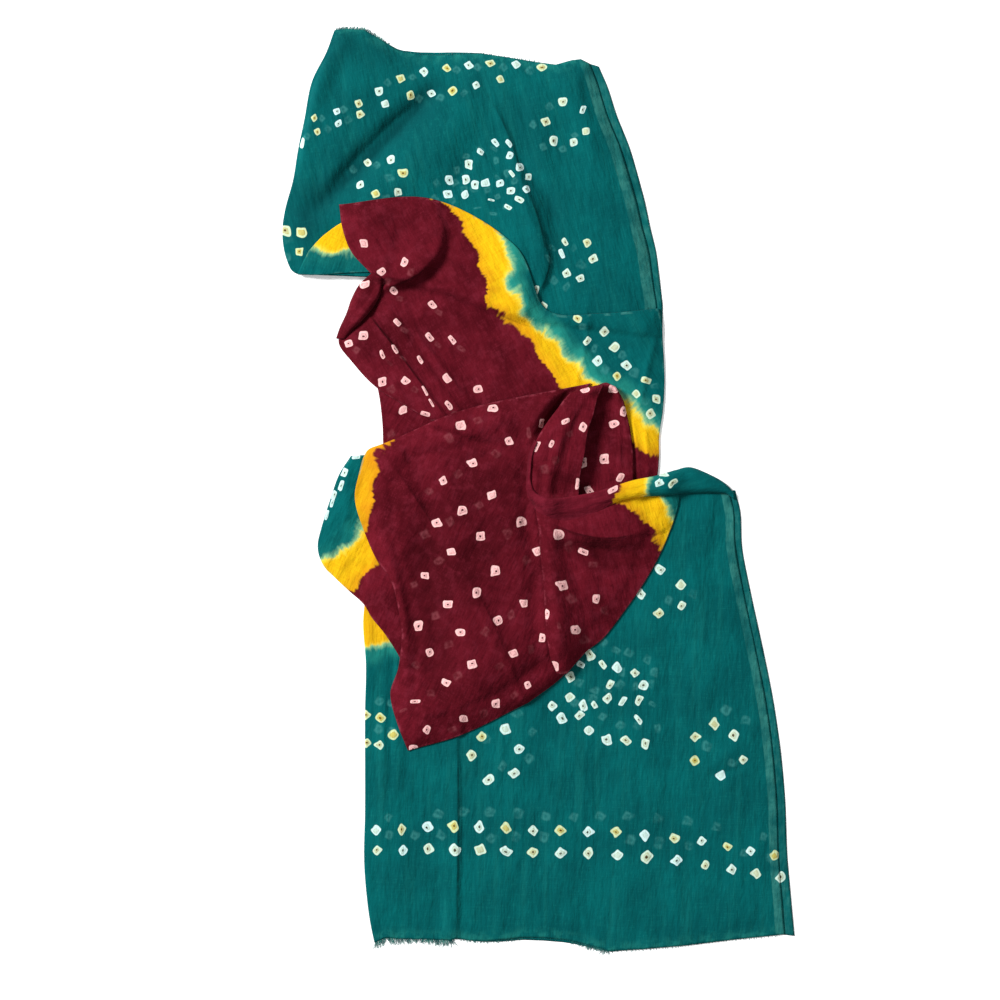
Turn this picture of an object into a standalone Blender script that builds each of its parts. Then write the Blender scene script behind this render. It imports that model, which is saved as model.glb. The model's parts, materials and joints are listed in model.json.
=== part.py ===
"""Bandhani dupatta stole: one long cotton cloth, doubled lengthwise and dropped in folds.

Run with  blender --background --python part.py  or from Blender's text editor.
Metres, +Z up. The cloth lies on z = 0 and the origin is the middle of its outline.

Each stretch of cloth is a table with one row per section. A row gives the plan points
(x, y in millimetres) that the section passes over, from its left edge to its right edge.
The stretches are laid in turn from the floor up, each over the ones below it.
"""

import math

import bmesh
import bpy
import numpy as np

# ------------------------------------------------------------------ driving sizes, mm
WALL = 1.2              # one layer of cloth, with its nap
DOUBLE = 2.6            # two layers lying on each other
LEAF_STEP = 10.0        # how far the under layer shows past the upper one at the selvedge
SLIT_DEPTH = 9.0        # open slit between the two layers at the selvedge
SLIT = 0.4              # height of that slit
SEAT = 0.35             # least gap between two stretches that lie on each other
FOLD_ROUND = 0.8        # how far a folded edge rounds outward
CELL = 2.5              # raster that remembers how high the heap is
HALF_X, HALF_Y = 320.0, 560.0
ORIGIN_X, ORIGIN_Y = 0.173, -0.446

FRAY_STRIP = 2.4        # width of the strip that the loose threads grow from
THREAD = 0.9            # thickness of a loose thread at its root

GREEN = (0.0, 0.115, 0.098, 1.0)
YELLOW = (0.86, 0.50, 0.003, 1.0)
MAROON = (0.105, 0.004, 0.016, 1.0)
MAROON_DARK = (0.062, 0.003, 0.010, 1.0)

# ------------------------------------------------------------------ stretches of cloth
# Lower end, from its cut edge up to where it goes under the roll.
# columns: left fold x, y, right selvedge x, y
LOWER_END = [
    (-177, -503, 281, -490),
    (-181, -458, 279, -447),
    (-187, -409, 276, -398),
    (-188, -354, 270, -343),
    (-188, -299, 264, -288),
    (-188, -244, 256, -233),
    (-188, -194, 249, -178),
    (-186, -140, 236, -118),
    (-180, -98, 226, -66),
    (-172, -52, 222, -28),
    (-164, -18, 221, -4),
]
# how far the cut edge lies past that straight first row; columns: share of width, mm
LOWER_HEM = [(0, 0), (0.06, 3), (0.2, 2), (0.27, -5), (0.36, -3), (0.5, 5), (0.57, 12),
             (0.65, 9), (0.76, 4), (0.88, -1), (1, 0)]

# Upper end, from its cut edge down to where it goes under the maroon field.
UPPER_END = [
    (-217, 507, 72, 462),
    (-236, 480, 82, 441),
    (-248, 444, 96, 408),
    (-255, 405, 109, 375),
    (-262, 372, 119, 345),
    (-268, 339, 125, 315),
    (-277, 306, 131, 287),
    (-280, 279, 134, 262),
    (-275, 251, 135, 240),
    (-263, 236, 136, 222),
    (-226, 237, 136, 212),
    (-180, 236, 136, 202),
    (-140, 228, 136, 192),
    (-90, 212, 136, 182),
    (-30, 190, 136, 170),
]
UPPER_HEM = [(0, 0), (0.04, 3), (0.12, 2), (0.18, -5), (0.29, -13), (0.4, -11),
             (0.57, -4), (0.66, -4), (0.78, -5), (0.86, -5), (0.94, 0), (1, 0)]

# Corner of the middle layer, showing left of the tongue.
# columns: lower fold x, y, middle x, y, upper fold x, y
CORNER_TURN = [
    (-263, 235, -256, 248, -248, 261),
    (-240, 234, -236, 254, -230, 277),
    (-212, 236, -210, 262, -204, 289),
    (-186, 237, -184, 262, -180, 288),
    (-166, 238, -163, 260, -160, 280),
]

# Small stretch between the upper end and the flap, showing at the left.
INNER_LAYER = [
    (-178, 122, -110, 108),
    (-173, 98, -98, 84),
    (-170, 70, -90, 56),
    (-169, 42, -90, 26),
    (-166, 18, -88, 6),
]

# Maroon field: first row is its long slanting upper fold, last row hidden by the flap.
# columns: four plan points from the left edge to the right edge
FIELD = [
    (-217, 312, -114, 319, -34, 266, 9, 185, 70, 190, 136, 196),
    (-213, 284, -112, 296, -38, 250, 4, 176, 70, 176, 137, 180),
    (-203, 258, -108, 272, -42, 232, 4, 160, 70, 162, 138, 166),
    (-178, 230, -98, 248, -44, 206, 8, 146, 72, 147, 138, 150),
    (-177, 212, -98, 224, -40, 186, 10, 132, 74, 132, 138, 132),
    (-198, 186, -104, 194, -36, 164, 14, 116, 76, 114, 138, 110),
    (-215, 167, -106, 166, -30, 142, 20, 98, 78, 94, 137, 84),
    (-198, 136, -96, 138, -24, 116, 24, 78, 80, 70, 134, 58),
    (-172, 110, -84, 108, -16, 90, 30, 56, 80, 46, 133, 34),
    (-140, 88, -64, 80, -6, 64, 34, 34, 80, 22, 132, 12),
    (-112, 72, -50, 56, 0, 42, 36, 18, 80, 8, 128, 2),
]

# Left edge of the field, curled over into a small roll.
# columns: outer edge x, y, inner edge x, y
EDGE_CURL = [
    (-177, 234, -170, 230),
    (-188, 224, -172, 216),
    (-198, 209, -178, 201),
    (-206, 191, -190, 185),
    (-212, 175, -203, 174),
    (-216, 165, -210, 166),
]

# Stretch that shows left of the flap.
SIDE_LAYER = [
    (-208, 37, -186, 38, -150, 38),
    (-220, 14, -190, 14, -140, 14),
    (-229, -12, -196, -12, -136, -12),
    (-236, -40, -200, -40, -132, -36),
    (-238, -64, -202, -62, -130, -56),
    (-233, -84, -200, -80, -130, -76),
    (-222, -98, -192, -96, -128, -94),
    (-208, -113, -184, -112, -126, -108),
    (-191, -126, -176, -126, -124, -122),
    (-180, -142, -166, -142, -124, -140),
    (-167, -158, -156, -158, -124, -158),
    (-156, -176, -146, -176, -122, -176),
    (-148, -190, -140, -190, -122, -190),
]

# Layers that never show, as one rounded pad under the flap.
HIDDEN_LAYERS = [
    (-132, 26, 0, 52),
    (-150, -14, 60, 30),
    (-146, -62, 108, -22),
    (-132, -112, 96, -84),
    (-124, -167, 52, -140),
    (-126, -216, 6, -178),
    (-118, -246, -44, -216),
]

# Big maroon flap; first row is its upper fold, last row its lower tip.
# columns: left edge x, y, middle x, y, right edge x, y
FLAP = [
    (-169, 49, -76, 86, 58, 114),
    (-184, 40, -86, 64, 44, 96),
    (-196, 14, -92, 38, 30, 66),
    (-200, -12, -94, 10, 20, 34),
    (-191, -44, -92, -20, 14, 0),
    (-177, -76, -88, -54, 14, -34),
    (-160, -101, -80, -84, 16, -66),
    (-152, -130, -74, -114, 18, -98),
    (-148, -160, -70, -144, 20, -128),
    (-152, -196, -70, -176, 20, -156),
    (-161, -225, -74, -206, 20, -182),
    (-154, -256, -80, -240, 18, -206),
    (-142, -285, -86, -275, 14, -216),
]

# Right part of the flap, lying over it along a crease.
FLAP_PLEAT = [
    (2, -12, 80, -14, 160, -3),
    (4, -30, 80, -28, 152, -28),
    (3, -54, 74, -52, 141, -58),
    (3, -82, 66, -84, 126, -92),
    (4, -108, 58, -114, 104, -122),
    (5, -134, 46, -142, 80, -152),
    (8, -160, 34, -168, 56, -178),
    (11, -184, 24, -190, 34, -197),
    (14, -204, 18, -207, 22, -208),
]

# Floor of the hood-like loop, and its right wall.
COWL_FLOOR = [
    (64, 111, 76, 113, 88, 108),
    (50, 98, 74, 102, 95, 96),
    (38, 82, 70, 88, 99, 82),
    (28, 64, 66, 68, 103, 64),
    (20, 44, 62, 46, 106, 42),
    (12, 22, 60, 24, 107, 20),
    (8, 4, 58, 4, 107, 6),
]

# Raised band round the loop.
COWL_LIP = [
    (60, 114, 66, 115, 72, 113),
    (42, 103, 56, 104, 67, 98),
    (28, 84, 46, 84, 62, 78),
    (12, 62, 36, 62, 56, 56),
    (0, 42, 26, 42, 52, 36),
    (-9, 22, 20, 20, 48, 16),
    (-10, 6, 18, 4, 45, 2),
    (-5, -8, 18, -8, 44, -8),
]

# Rolled ridge from the loop to the right edge.
# columns: lower edge x, y, upper edge x, y, height of the roll
ROLL = [
    (-2, -22, -10, -4, 5),
    (10, -29, 8, -9, 9),
    (34, -32, 34, -10, 11),
    (60, -28, 60, -8, 12),
    (84, -19, 84, -1, 12),
    (110, -14, 110, 8, 11),
    (136, -11, 136, 17, 11),
    (164, -8, 166, 24, 10),
    (190, -6, 190, 14, 9),
    (208, -8, 208, 2, 7),
    (224, -14, 221, -8, 4),
]

# Soft folds that stand up or sink in a stretch.
# columns: start x, y, end x, y, half width, height (minus sinks)
LOWER_FOLDS = [
    (-86, -262, -85, -500, 7, 1.6),
    (226, -272, 200, -300, 12, 0.8),
    (150, -250, 190, -330, 22, 0.9),
    (-40, -330, 40, -470, 30, 0.9),
    (-150, -300, -130, -480, 24, 1.0),
    (90, -220, 120, -420, 32, 0.8),
]
UPPER_FOLDS = [
    (-146, 448, -214, 338, 14, -1.2),
    (-120, 430, -190, 330, 18, 2.6),
    (-36, 378, 6, 268, 9, 3.2),
    (6, 268, 2, 212, 8, 3.0),
    (6, 328, 34, 250, 8, 2.0),
    (60, 420, 104, 250, 30, 1.8),
    (-226, 420, -250, 320, 20, 1.4),
    (-60, 470, -20, 400, 20, 1.4),
]
FIELD_FOLDS = [
    (-206, 300, -176, 240, 12, 3.0),
    (-150, 290, -96, 296, 26, 5.0),
    (-170, 218, -106, 262, 9, -3.0),
    (-106, 262, -92, 296, 9, -2.2),
    (-60, 208, 10, 176, 8, 3.0),
    (-182, 188, -104, 72, 8, -2.4),
    (-150, 190, -88, 82, 10, 3.2),
    (-120, 194, -60, 100, 9, 2.4),
    (-40, 170, 20, 90, 22, 2.2),
    (56, 184, 42, 112, 7, 1.8),
    (132, 190, 112, 96, 7, 1.6),
]
FLAP_FOLDS = [
    (-166, 30, -116, -36, 10, -2.0),
    (-140, 30, -80, -40, 18, 2.0),
    (-60, -128, -10, -232, 12, -2.2),
    (-150, -90, -140, -220, 12, -2.0),
    (-110, -120, -90, -240, 20, 2.4),
    (-20, 60, -10, -120, 24, 2.2),
]
PLEAT_FOLDS = [
    (8, -34, 30, -52, 9, -2.0),
    (30, -52, 110, -62, 14, -2.2),
    (20, -24, 96, -24, 10, 2.6),
    (14, -70, 60, -120, 14, 2.4),
]


# ------------------------------------------------------------------ plan of a stretch
def curve(knots, where):
    """Smooth curve through the knots, which sit at 0, 1, 2 ..., read at the given places."""
    knots = np.asarray(knots, float)
    last = len(knots) - 1
    ends = np.vstack([2 * knots[:1] - knots[1:2], knots, 2 * knots[-1:] - knots[-2:-1]])
    where = np.clip(np.asarray(where, float), 0, last)
    span = np.minimum(where.astype(int), last - 1)
    t = (where - span)[:, None]
    a, b, c, d = (ends[span + k] for k in range(4))
    return b + 0.5 * t * (c - a + t * (2 * a - 5 * b + 4 * c - d + t * (3 * (b - c) + d - a)))


def plan_grid(rows, columns, down):
    """Plan points [down, columns, 2] of a stretch, evenly spaced between its rows."""
    table = np.asarray(rows, float)
    points = table.reshape(len(table), -1, 2)
    across = np.linspace(0, points.shape[1] - 1, columns)
    wide = np.stack([curve(row, across) for row in points])
    step = np.linalg.norm(np.diff(wide, axis=0), axis=2).mean(axis=1)
    length = np.concatenate([[0], np.cumsum(step)])
    places = np.interp(np.linspace(0, length[-1], down), length, np.arange(len(table)))
    flat = curve(wide.reshape(len(table), -1), places)
    return flat.reshape(down, columns, 2)


def shift_cut_edge(grid, hem, reach):
    """Moves the first rows outward, so that the cut edge has its uneven line."""
    share, out = np.array(hem, float).T
    along = np.linalg.norm(grid[0] - grid[0, 0], axis=1)
    along = along / along[-1]
    dip = np.interp(along, share, out)
    inward = grid[1] - grid[0]
    inward /= np.linalg.norm(inward, axis=1)[:, None]
    start = grid[0].copy()
    for row in grid:
        far = np.linalg.norm(row - start, axis=1).mean()
        row -= inward * dip[:, None] * max(0.0, 1 - far / reach)
    return grid


def fold_height(plan, folds):
    """Height of the soft folds over each plan point."""
    total = np.zeros(plan.shape[:-1])
    for x0, y0, x1, y1, half, height in folds:
        start, run = np.array((x0, y0), float), np.array((x1 - x0, y1 - y0), float)
        share = np.clip(((plan - start) @ run) / (run @ run), 0, 1)
        off = np.linalg.norm(plan - (start + share[..., None] * run), axis=-1)
        fade = 0.35 + 0.65 * np.sin(math.pi * np.clip(0.12 + 0.8 * share, 0, 1))
        total += height * fade * np.exp(-((off / half) ** 2))
    return total


def dome(grid, edge):
    """0 at the outline of a stretch, rising to 1 once a point is `edge` mm inside it."""
    border = np.concatenate([grid[0], grid[-1], grid[:, 0], grid[:, -1]])
    gap = np.linalg.norm(grid[:, :, None] - border[None, None], axis=3).min(axis=2)
    return np.sin(0.5 * math.pi * np.clip(gap / edge, 0, 1))


# ------------------------------------------------------------------ the heap so far
NX, NY = int(2 * HALF_X / CELL), int(2 * HALF_Y / CELL)
heap = np.zeros((NY, NX))
plans = {}


def cell_of(plan):
    column = np.clip(((plan[..., 0] + HALF_X) / CELL).astype(int), 0, NX - 1)
    row = np.clip(((plan[..., 1] + HALF_Y) / CELL).astype(int), 0, NY - 1)
    return row, column


def spread(field, reach):
    """Each cell takes the highest value within `reach` cells."""
    for axis in (0, 1):
        shifted = [np.roll(field, k, axis) for k in range(-reach, reach + 1)]
        field = np.max(shifted, axis=0)
    return field


def soften(field, reach, passes=2):
    for _ in range(passes):
        for axis in (0, 1):
            field = sum(np.roll(field, k, axis) for k in range(-reach, reach + 1))
            field = field / (2 * reach + 1)
    return field


def between(grid, steps):
    """Points inside every quad of a grid of vectors, with the weights that made them."""
    a, b, c, d = grid[:-1, :-1], grid[:-1, 1:], grid[1:, :-1], grid[1:, 1:]
    for s in np.linspace(0, 1, steps):
        for t in np.linspace(0, 1, steps):
            yield (1 - s) * ((1 - t) * a + t * b) + s * ((1 - t) * c + t * d)


def lay(plan, over):
    """Heights of the underside of a stretch laid over the heap, clear of all below it."""
    cover = soften(spread(heap, over), max(1, over // 2))
    row, column = cell_of(plan)
    base = cover[row, column]
    base = base + SEAT * np.clip(base, 0, 1)
    high = spread(heap, 1)
    for _ in range(4):
        both = np.concatenate([plan, base[..., None]], axis=2)
        lack = np.zeros([n - 1 for n in base.shape])
        for spot in between(both, 6):
            row, column = cell_of(spot[..., :2])
            under = high[row, column]
            lack = np.maximum(lack, np.where(under > 0.1, under + SEAT - spot[..., 2], 0))
        for i in (0, 1):
            for j in (0, 1):
                part = base[i:i + lack.shape[0], j:j + lack.shape[1]]
                np.maximum(part, part + 0.5 * lack, out=part)
    both = np.concatenate([plan, base[..., None]], axis=2)
    return np.where(base < 0.05, 0.0, base)


def remember(plan, top):
    """Adds a laid stretch to the heap."""
    both = np.concatenate([plan, top[..., None]], axis=2)
    for spot in between(both, 12):
        row, column = cell_of(spot[..., :2])
        np.maximum.at(heap, (row, column), spot[..., 2])


# ------------------------------------------------------------------ making a solid
def material(name, colour, roughness=0.86):
    mat = bpy.data.materials.new(name)
    mat.use_nodes = True
    shader = mat.node_tree.nodes["Principled BSDF"]
    shader.inputs["Base Color"].default_value = colour
    shader.inputs["Roughness"].default_value = roughness
    shader.inputs["Metallic"].default_value = 0.0
    mat.diffuse_color = colour
    return mat


def to_metres(points):
    shifted = np.array(points, float) - (ORIGIN_X, ORIGIN_Y, 0)
    return [tuple(float(v) * 0.001 for v in p) for p in shifted]


def new_object(name, mesh_data, colour):
    mesh = bpy.data.meshes.new(name)
    bmesh.ops.recalc_face_normals(mesh_data, faces=mesh_data.faces)
    mesh_data.to_mesh(mesh)
    mesh_data.free()
    mesh.materials.append(material(name, colour))
    mesh.shade_smooth()
    mesh.set_sharp_from_angle(angle=math.radians(40))
    obj = bpy.data.objects.new(name, mesh)
    bpy.context.scene.collection.objects.link(obj)
    return obj


def side_of(points, end, beside):
    """Level direction that leads out of a section at one of its ends."""
    out = points[end, :2] - points[beside, :2]
    return out / np.linalg.norm(out)


def right_side(low, high, style):
    """Points up the right edge, and how many columns the top side keeps."""
    out, count = side_of(low, -1, -2), len(low)
    if style == "leaves":  # two layers with an open slit, the upper one stopping short
        under = low[-1] + (0, 0, 0.5 * (high[-1, 2] - low[-1, 2] - SLIT))
        root = under + np.append(-out * (LEAF_STEP + SLIT_DEPTH), 0)
        tip = under + np.append(-out * LEAF_STEP, SLIT)
        return [under, root, root + (0, 0, SLIT), tip], count - 1
    return rounded(low[-1], high[-1], out, style), count


def rounded(low, high, out, style):
    if style != "fold":
        return []
    middle = 0.5 * (low + high)
    middle[:2] += out * min(FOLD_ROUND, 0.45 * (high[2] - low[2]))
    return [middle]


def ring(low, high, left, right):
    """One closed section: along the underside, up the right edge, back over the top."""
    up, kept = right_side(low, high, right)
    down = rounded(low[0], high[0], side_of(low, 0, 1), left)
    return np.array(list(low) + up + list(high[:kept][::-1]) + down), len(up), kept


def close_end(data, verts, columns, up, kept):
    """Closes the first or last section as a row of quads between its two sides."""
    low, right = verts[:columns], verts[columns:columns + up]
    top = verts[columns + up:columns + up + kept][::-1]
    left = verts[columns + up + kept:]
    last = columns - 1 if kept == columns else columns - 3
    for k in range(last):
        data.faces.new((low[k], low[k + 1], top[k + 1], top[k]))
    rest = low[last:] + right + top[last:][::-1]
    if len(rest) > 2:
        bmesh.ops.triangulate(data, faces=[data.faces.new(rest)])
    if left:
        data.faces.new([top[0]] + left + [low[0]])


def loft(name, low, high, colour, left="fold", right="fold", start="cut", end="cut"):
    """Closed solid between an underside grid and a top grid of points."""
    _, up, kept = ring(low[0], high[0], left, right)
    rings = [ring(a, b, left, right)[0] for a, b in zip(low, high)]
    for where, style in ((0, start), (-1, end)):
        if style != "fold":
            continue
        # A folded end rounds outward, with a thinner last section.
        a, b = low[where], high[where]
        inner = low[1 if where == 0 else -2]
        out = a[:, :2] - inner[:, :2]
        out /= np.linalg.norm(out, axis=1)[:, None]
        thick = b[:, 2] - a[:, 2]
        ease = np.minimum(FOLD_ROUND, 0.45 * thick)[:, None] * out
        lower, upper = a.copy(), b.copy()
        lower[:, :2] += ease
        upper[:, :2] += ease
        lower[:, 2] += 0.32 * thick
        upper[:, 2] -= 0.32 * thick
        extra = ring(lower, upper, left, right)[0]
        rings = [extra] + rings if where == 0 else rings + [extra]
    data = bmesh.new()
    count = len(rings[0])
    verts = [[data.verts.new(p) for p in to_metres(section)] for section in rings]
    for upper, lower in zip(verts, verts[1:]):
        for k in range(count):
            n = (k + 1) % count
            data.faces.new((upper[k], upper[n], lower[n], lower[k]))
    for section in (verts[0], verts[-1]):
        close_end(data, section, low.shape[1], up, kept)
    return new_object(name, data, colour)


def stretch(name, rows, columns, down, colour, thick=DOUBLE, folds=(), puff=0.0,
            puff_edge=40.0, rise=None, over=3, hem=None, heights=None, **edges):
    """Lays one stretch over the heap and makes its solid."""
    plan = plan_grid(rows, columns, down)
    if edges.get("right") == "leaves":  # fixed columns for the step at the selvedge
        out = plan[:, -1] - plan[:, -2]
        out /= np.linalg.norm(out, axis=1)[:, None]
        plan[:, -2] = plan[:, -1] - out * LEAF_STEP
        plan[:, -3] = plan[:, -1] - out * (LEAF_STEP + SLIT_DEPTH)
        inner = np.linspace(0, 1, columns - 2)[None, :, None]
        plan[:, :-2] = plan[:, :1] + (plan[:, -3:-2] - plan[:, :1]) * inner
    if hem:
        plan = shift_cut_edge(plan, hem, 70.0)
    base = lay(plan, over)
    if rise is not None:
        base = base + rise(plan)
    full = np.full(base.shape, float(thick)) if heights is None else heights(plan)
    inside = dome(plan, puff_edge)
    full = full + puff * inside
    if folds:
        full = full + np.maximum(fold_height(plan, folds), 0.9 - full) * dome(plan, 10.0)
    full = np.maximum(full, 0.9)
    low = np.concatenate([plan, base[..., None]], axis=2)
    high = np.concatenate([plan, (base + full)[..., None]], axis=2)
    remember(plan, base + full)
    plans[name] = plan
    return loft(name, low, high, colour, **edges)


# ------------------------------------------------------------------ frayed cut ends
def fray(name, beside, threads, colour, first, last, length):
    """Narrow strip along a cut edge, with loose threads drawn out of its outer side."""
    edge = plans[beside][0]
    run = np.gradient(edge, axis=0)
    run /= np.linalg.norm(run, axis=1)[:, None]
    out = np.stack([run[:, 1], -run[:, 0]], axis=1)
    out *= np.sign(((edge - plans[beside][1]) * out).sum())
    share = np.concatenate([[0], np.cumsum(np.linalg.norm(np.diff(edge, axis=0), axis=1))])
    share /= share[-1]
    places, owner = [first], []
    pitch = (last - first) / threads
    width = THREAD / 290.0
    for k in range(threads):
        middle = first + pitch * (k + 0.5 + 0.24 * math.sin(5.1 * k))
        places += [middle - 0.5 * width, middle + 0.5 * width]
        owner.append(len(places) - 2)
    places.append(last)

    def at(values, s):
        return np.array([np.interp(s, share, values[:, k]) for k in range(2)])

    data = bmesh.new()
    corners = []
    for s in places:
        root, way = at(edge, s), at(out, s)
        near, far = root + way * 0.35, root + way * (0.35 + FRAY_STRIP)
        spots = [(*near, 0.0), (*far, 0.0), (*far, THREAD), (*near, 1.1)]
        corners.append([data.verts.new(p) for p in to_metres(spots)])
    for k, (a, b) in enumerate(zip(corners, corners[1:])):
        for i, j in ((0, 1), (2, 3), (3, 0)):
            data.faces.new((a[i], a[j], b[j], b[i]))
        if k not in owner:
            data.faces.new((a[1], a[2], b[2], b[1]))
            continue
        middle = 0.5 * (places[k] + places[k + 1])
        root, way = at(edge, middle), at(out, middle)
        side = np.array((-way[1], way[0]))
        n = owner.index(k)
        reach = length * (0.55 + 0.45 * math.sin(2.3 * n) * math.sin(0.9 * n + 1.0))
        lean = 1.6 * math.sin(3.7 * n + 0.6)
        ends = [(a[1], a[2], b[2], b[1])]
        for share_out in (0.55, 1.0):
            spot = root + way * (0.35 + FRAY_STRIP + reach * share_out)
            spot = spot + side * lean * share_out ** 2
            half = 0.5 * THREAD * (1 - 0.55 * share_out)
            low, top = 0.06 * share_out, THREAD * (1 - 0.55 * share_out)
            square = [(*(spot + side * s * half), z) for s, z in
                      ((-1, low), (-1, top), (1, top), (1, low))]
            if (b[1].co.xy - a[1].co.xy).dot(side) < 0:
                square = [square[3], square[2], square[1], square[0]]
            ends.append([data.verts.new(p) for p in to_metres(square)])
        for near, far in zip(ends, ends[1:]):
            for i in range(4):
                j = (i + 1) % 4
                data.faces.new((near[i], near[j], far[j], far[i]))
        data.faces.new(ends[-1])
    data.faces.new(corners[0])
    data.faces.new(corners[-1][::-1])
    return new_object(name, data, colour)


# ------------------------------------------------------------------ the whole stole
def clear_scene():
    for obj in list(bpy.data.objects):
        bpy.data.objects.remove(obj, do_unlink=True)


def lip_rise(plan):
    """The band stands up from its left fold and hangs free over the floor of the loop."""
    along = np.linspace(0, 1, plan.shape[0])[:, None]
    across = np.linspace(0, 1, plan.shape[1])[None, :]
    return 8.0 * np.sin(0.5 * math.pi * np.clip(across / 0.5, 0, 1)) * np.sin(
        math.pi * np.clip(0.12 + 0.8 * along, 0, 1))


def roll_heights(plan):
    table = np.array(ROLL, float)
    along = np.interp(np.linspace(0, len(table) - 1, plan.shape[0]),
                      np.arange(len(table)), table[:, 4])[:, None]
    across = np.linspace(-1, 1, plan.shape[1])[None, :]
    return 1.2 + along * np.sqrt(np.clip(1 - across ** 2, 0, 1))


def curl_heights(plan):
    along = np.sin(math.pi * np.linspace(0.12, 0.92, plan.shape[0]))[:, None]
    across = np.linspace(-1, 1, plan.shape[1])[None, :]
    return 1.2 + 6.5 * along * np.sqrt(np.clip(1 - across ** 2, 0, 1))


def build():
    clear_scene()
    stretch("lower_end", LOWER_END, 20, 20, GREEN, folds=LOWER_FOLDS, hem=LOWER_HEM,
            right="leaves")
    stretch("upper_end", UPPER_END, 20, 26, GREEN, folds=UPPER_FOLDS, hem=UPPER_HEM,
            right="leaves")
    stretch("corner_turn", CORNER_TURN, 5, 7, GREEN, thick=WALL, over=2)
    stretch("inner_layer", INNER_LAYER, 6, 7, MAROON, thick=WALL, over=2)
    stretch("field", FIELD, 26, 22, MAROON, folds=FIELD_FOLDS, start="fold", over=3)
    stretch("edge_curl", EDGE_CURL, 7, 10, MAROON, heights=curl_heights, over=1)
    stretch("side_layer", SIDE_LAYER, 8, 16, GREEN, thick=2.0, puff=1.5, puff_edge=22,
            over=2)
    stretch("hidden_layers", HIDDEN_LAYERS, 12, 12, MAROON_DARK, thick=WALL, puff=5.0,
            puff_edge=55, over=3)
    stretch("flap", FLAP, 20, 24, MAROON, thick=2.0, folds=FLAP_FOLDS, puff=1.5,
            puff_edge=16, start="fold", end="fold", over=3)
    stretch("cowl_floor", COWL_FLOOR, 9, 10, MAROON_DARK, thick=WALL, puff=1.0,
            puff_edge=20, start="fold", over=2)
    stretch("flap_pleat", FLAP_PLEAT, 12, 16, MAROON, thick=WALL, folds=PLEAT_FOLDS,
            puff=1.5, puff_edge=16, end="fold", over=2)
    stretch("cowl_lip", COWL_LIP, 9, 14, MAROON, thick=WALL, rise=lip_rise, over=2,
            start="fold")
    stretch("roll", [row[:4] for row in ROLL], 8, 26, MAROON, heights=roll_heights,
            over=2)
    fray("lower_fray", "lower_end", 70, GREEN, 0.01, 0.99, 7.0)
    fray("upper_fray", "upper_end", 36, GREEN, 0.02, 0.62, 5.0)


build()
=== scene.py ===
# %% [markdown]
# # A bandhani dupatta stole, dropped in folds
#
# The stole is one long rectangle of fine cotton. It is doubled lengthwise, and both
# green ends lie almost flat while the maroon middle is gathered between them. The packed
# model gives each stretch of cloth a plain solid. Here every stretch gets its own thin
# sheet, laid over the ones below it, with its creases, dye and tied dots.
#
# A cloth simulation would find folds of its own. This stole has particular folds, so each
# stretch is shaped from short tables instead, and then laid on a height map of the heap.

import json
import math

import bpy
import numpy as np
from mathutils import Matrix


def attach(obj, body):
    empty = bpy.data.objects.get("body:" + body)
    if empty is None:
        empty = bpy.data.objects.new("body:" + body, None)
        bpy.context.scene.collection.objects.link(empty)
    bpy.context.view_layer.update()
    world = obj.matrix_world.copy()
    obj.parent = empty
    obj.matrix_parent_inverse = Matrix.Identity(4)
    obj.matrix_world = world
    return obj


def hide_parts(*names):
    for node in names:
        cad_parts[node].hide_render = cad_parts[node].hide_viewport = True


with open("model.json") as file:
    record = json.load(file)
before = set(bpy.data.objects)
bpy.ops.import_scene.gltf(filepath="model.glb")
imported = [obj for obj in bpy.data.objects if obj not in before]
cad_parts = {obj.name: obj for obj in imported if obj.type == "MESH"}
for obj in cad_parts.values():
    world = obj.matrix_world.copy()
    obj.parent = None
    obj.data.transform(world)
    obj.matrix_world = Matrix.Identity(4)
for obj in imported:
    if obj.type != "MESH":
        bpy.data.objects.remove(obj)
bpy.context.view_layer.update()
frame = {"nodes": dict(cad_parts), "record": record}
print("packed nodes:", len(frame["nodes"]))

# %% [markdown]
# ## Sizes
#
# Tables are in millimetres, seen from above: x to the right and y towards the upper end.
# They could be in metres, which Blender works in, but whole millimetres are easier to
# read and to change. The origin of the tables lies a little off the middle of the
# outline, so every point is moved by `ORIGIN` when its mesh is made.

# %% Shared sizes
METRE = 0.001           # metres in a millimetre
ORIGIN = np.array((0.173, -0.446))
GRAIN = 2.5             # spacing of the points of a sheet
CLOTH = 0.35            # thickness of the cotton
DOUBLE = 2.6            # two layers lying loosely on each other
SEAT = 0.3              # air between two stretches
FAR = 99.0              # a distance that stands for "no edge near"
print(f"cotton of {CLOTH} mm, with points {GRAIN} mm apart")

# %% [markdown]
# ## Plan of a stretch
#
# A stretch starts as a table with one row per section. A row gives the plan points that
# the section passes over, from its left edge to its right edge. A smooth curve runs
# through the points of each row, and then down the rows, so a few rows give a soft
# outline that a drawn polygon would need hundreds of points for.

# %% Grid of plan points
def curve(knots, where):
    """Smooth curve through knots that sit at 0, 1, 2 ..., read at the given places."""
    knots = np.asarray(knots, float)
    last = len(knots) - 1
    ends = np.vstack([2 * knots[:1] - knots[1:2], knots, 2 * knots[-1:] - knots[-2:-1]])
    where = np.clip(np.asarray(where, float), 0, last)
    span = np.minimum(where.astype(int), last - 1)
    t = (where - span)[:, None]
    a, b, c, d = (ends[span + k] for k in range(4))
    return b + 0.5 * t * (c - a + t * (2 * a - 5 * b + 4 * c - d + t * (3 * (b - c) + d - a)))


FEWEST = 6              # least number of points each way


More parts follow.
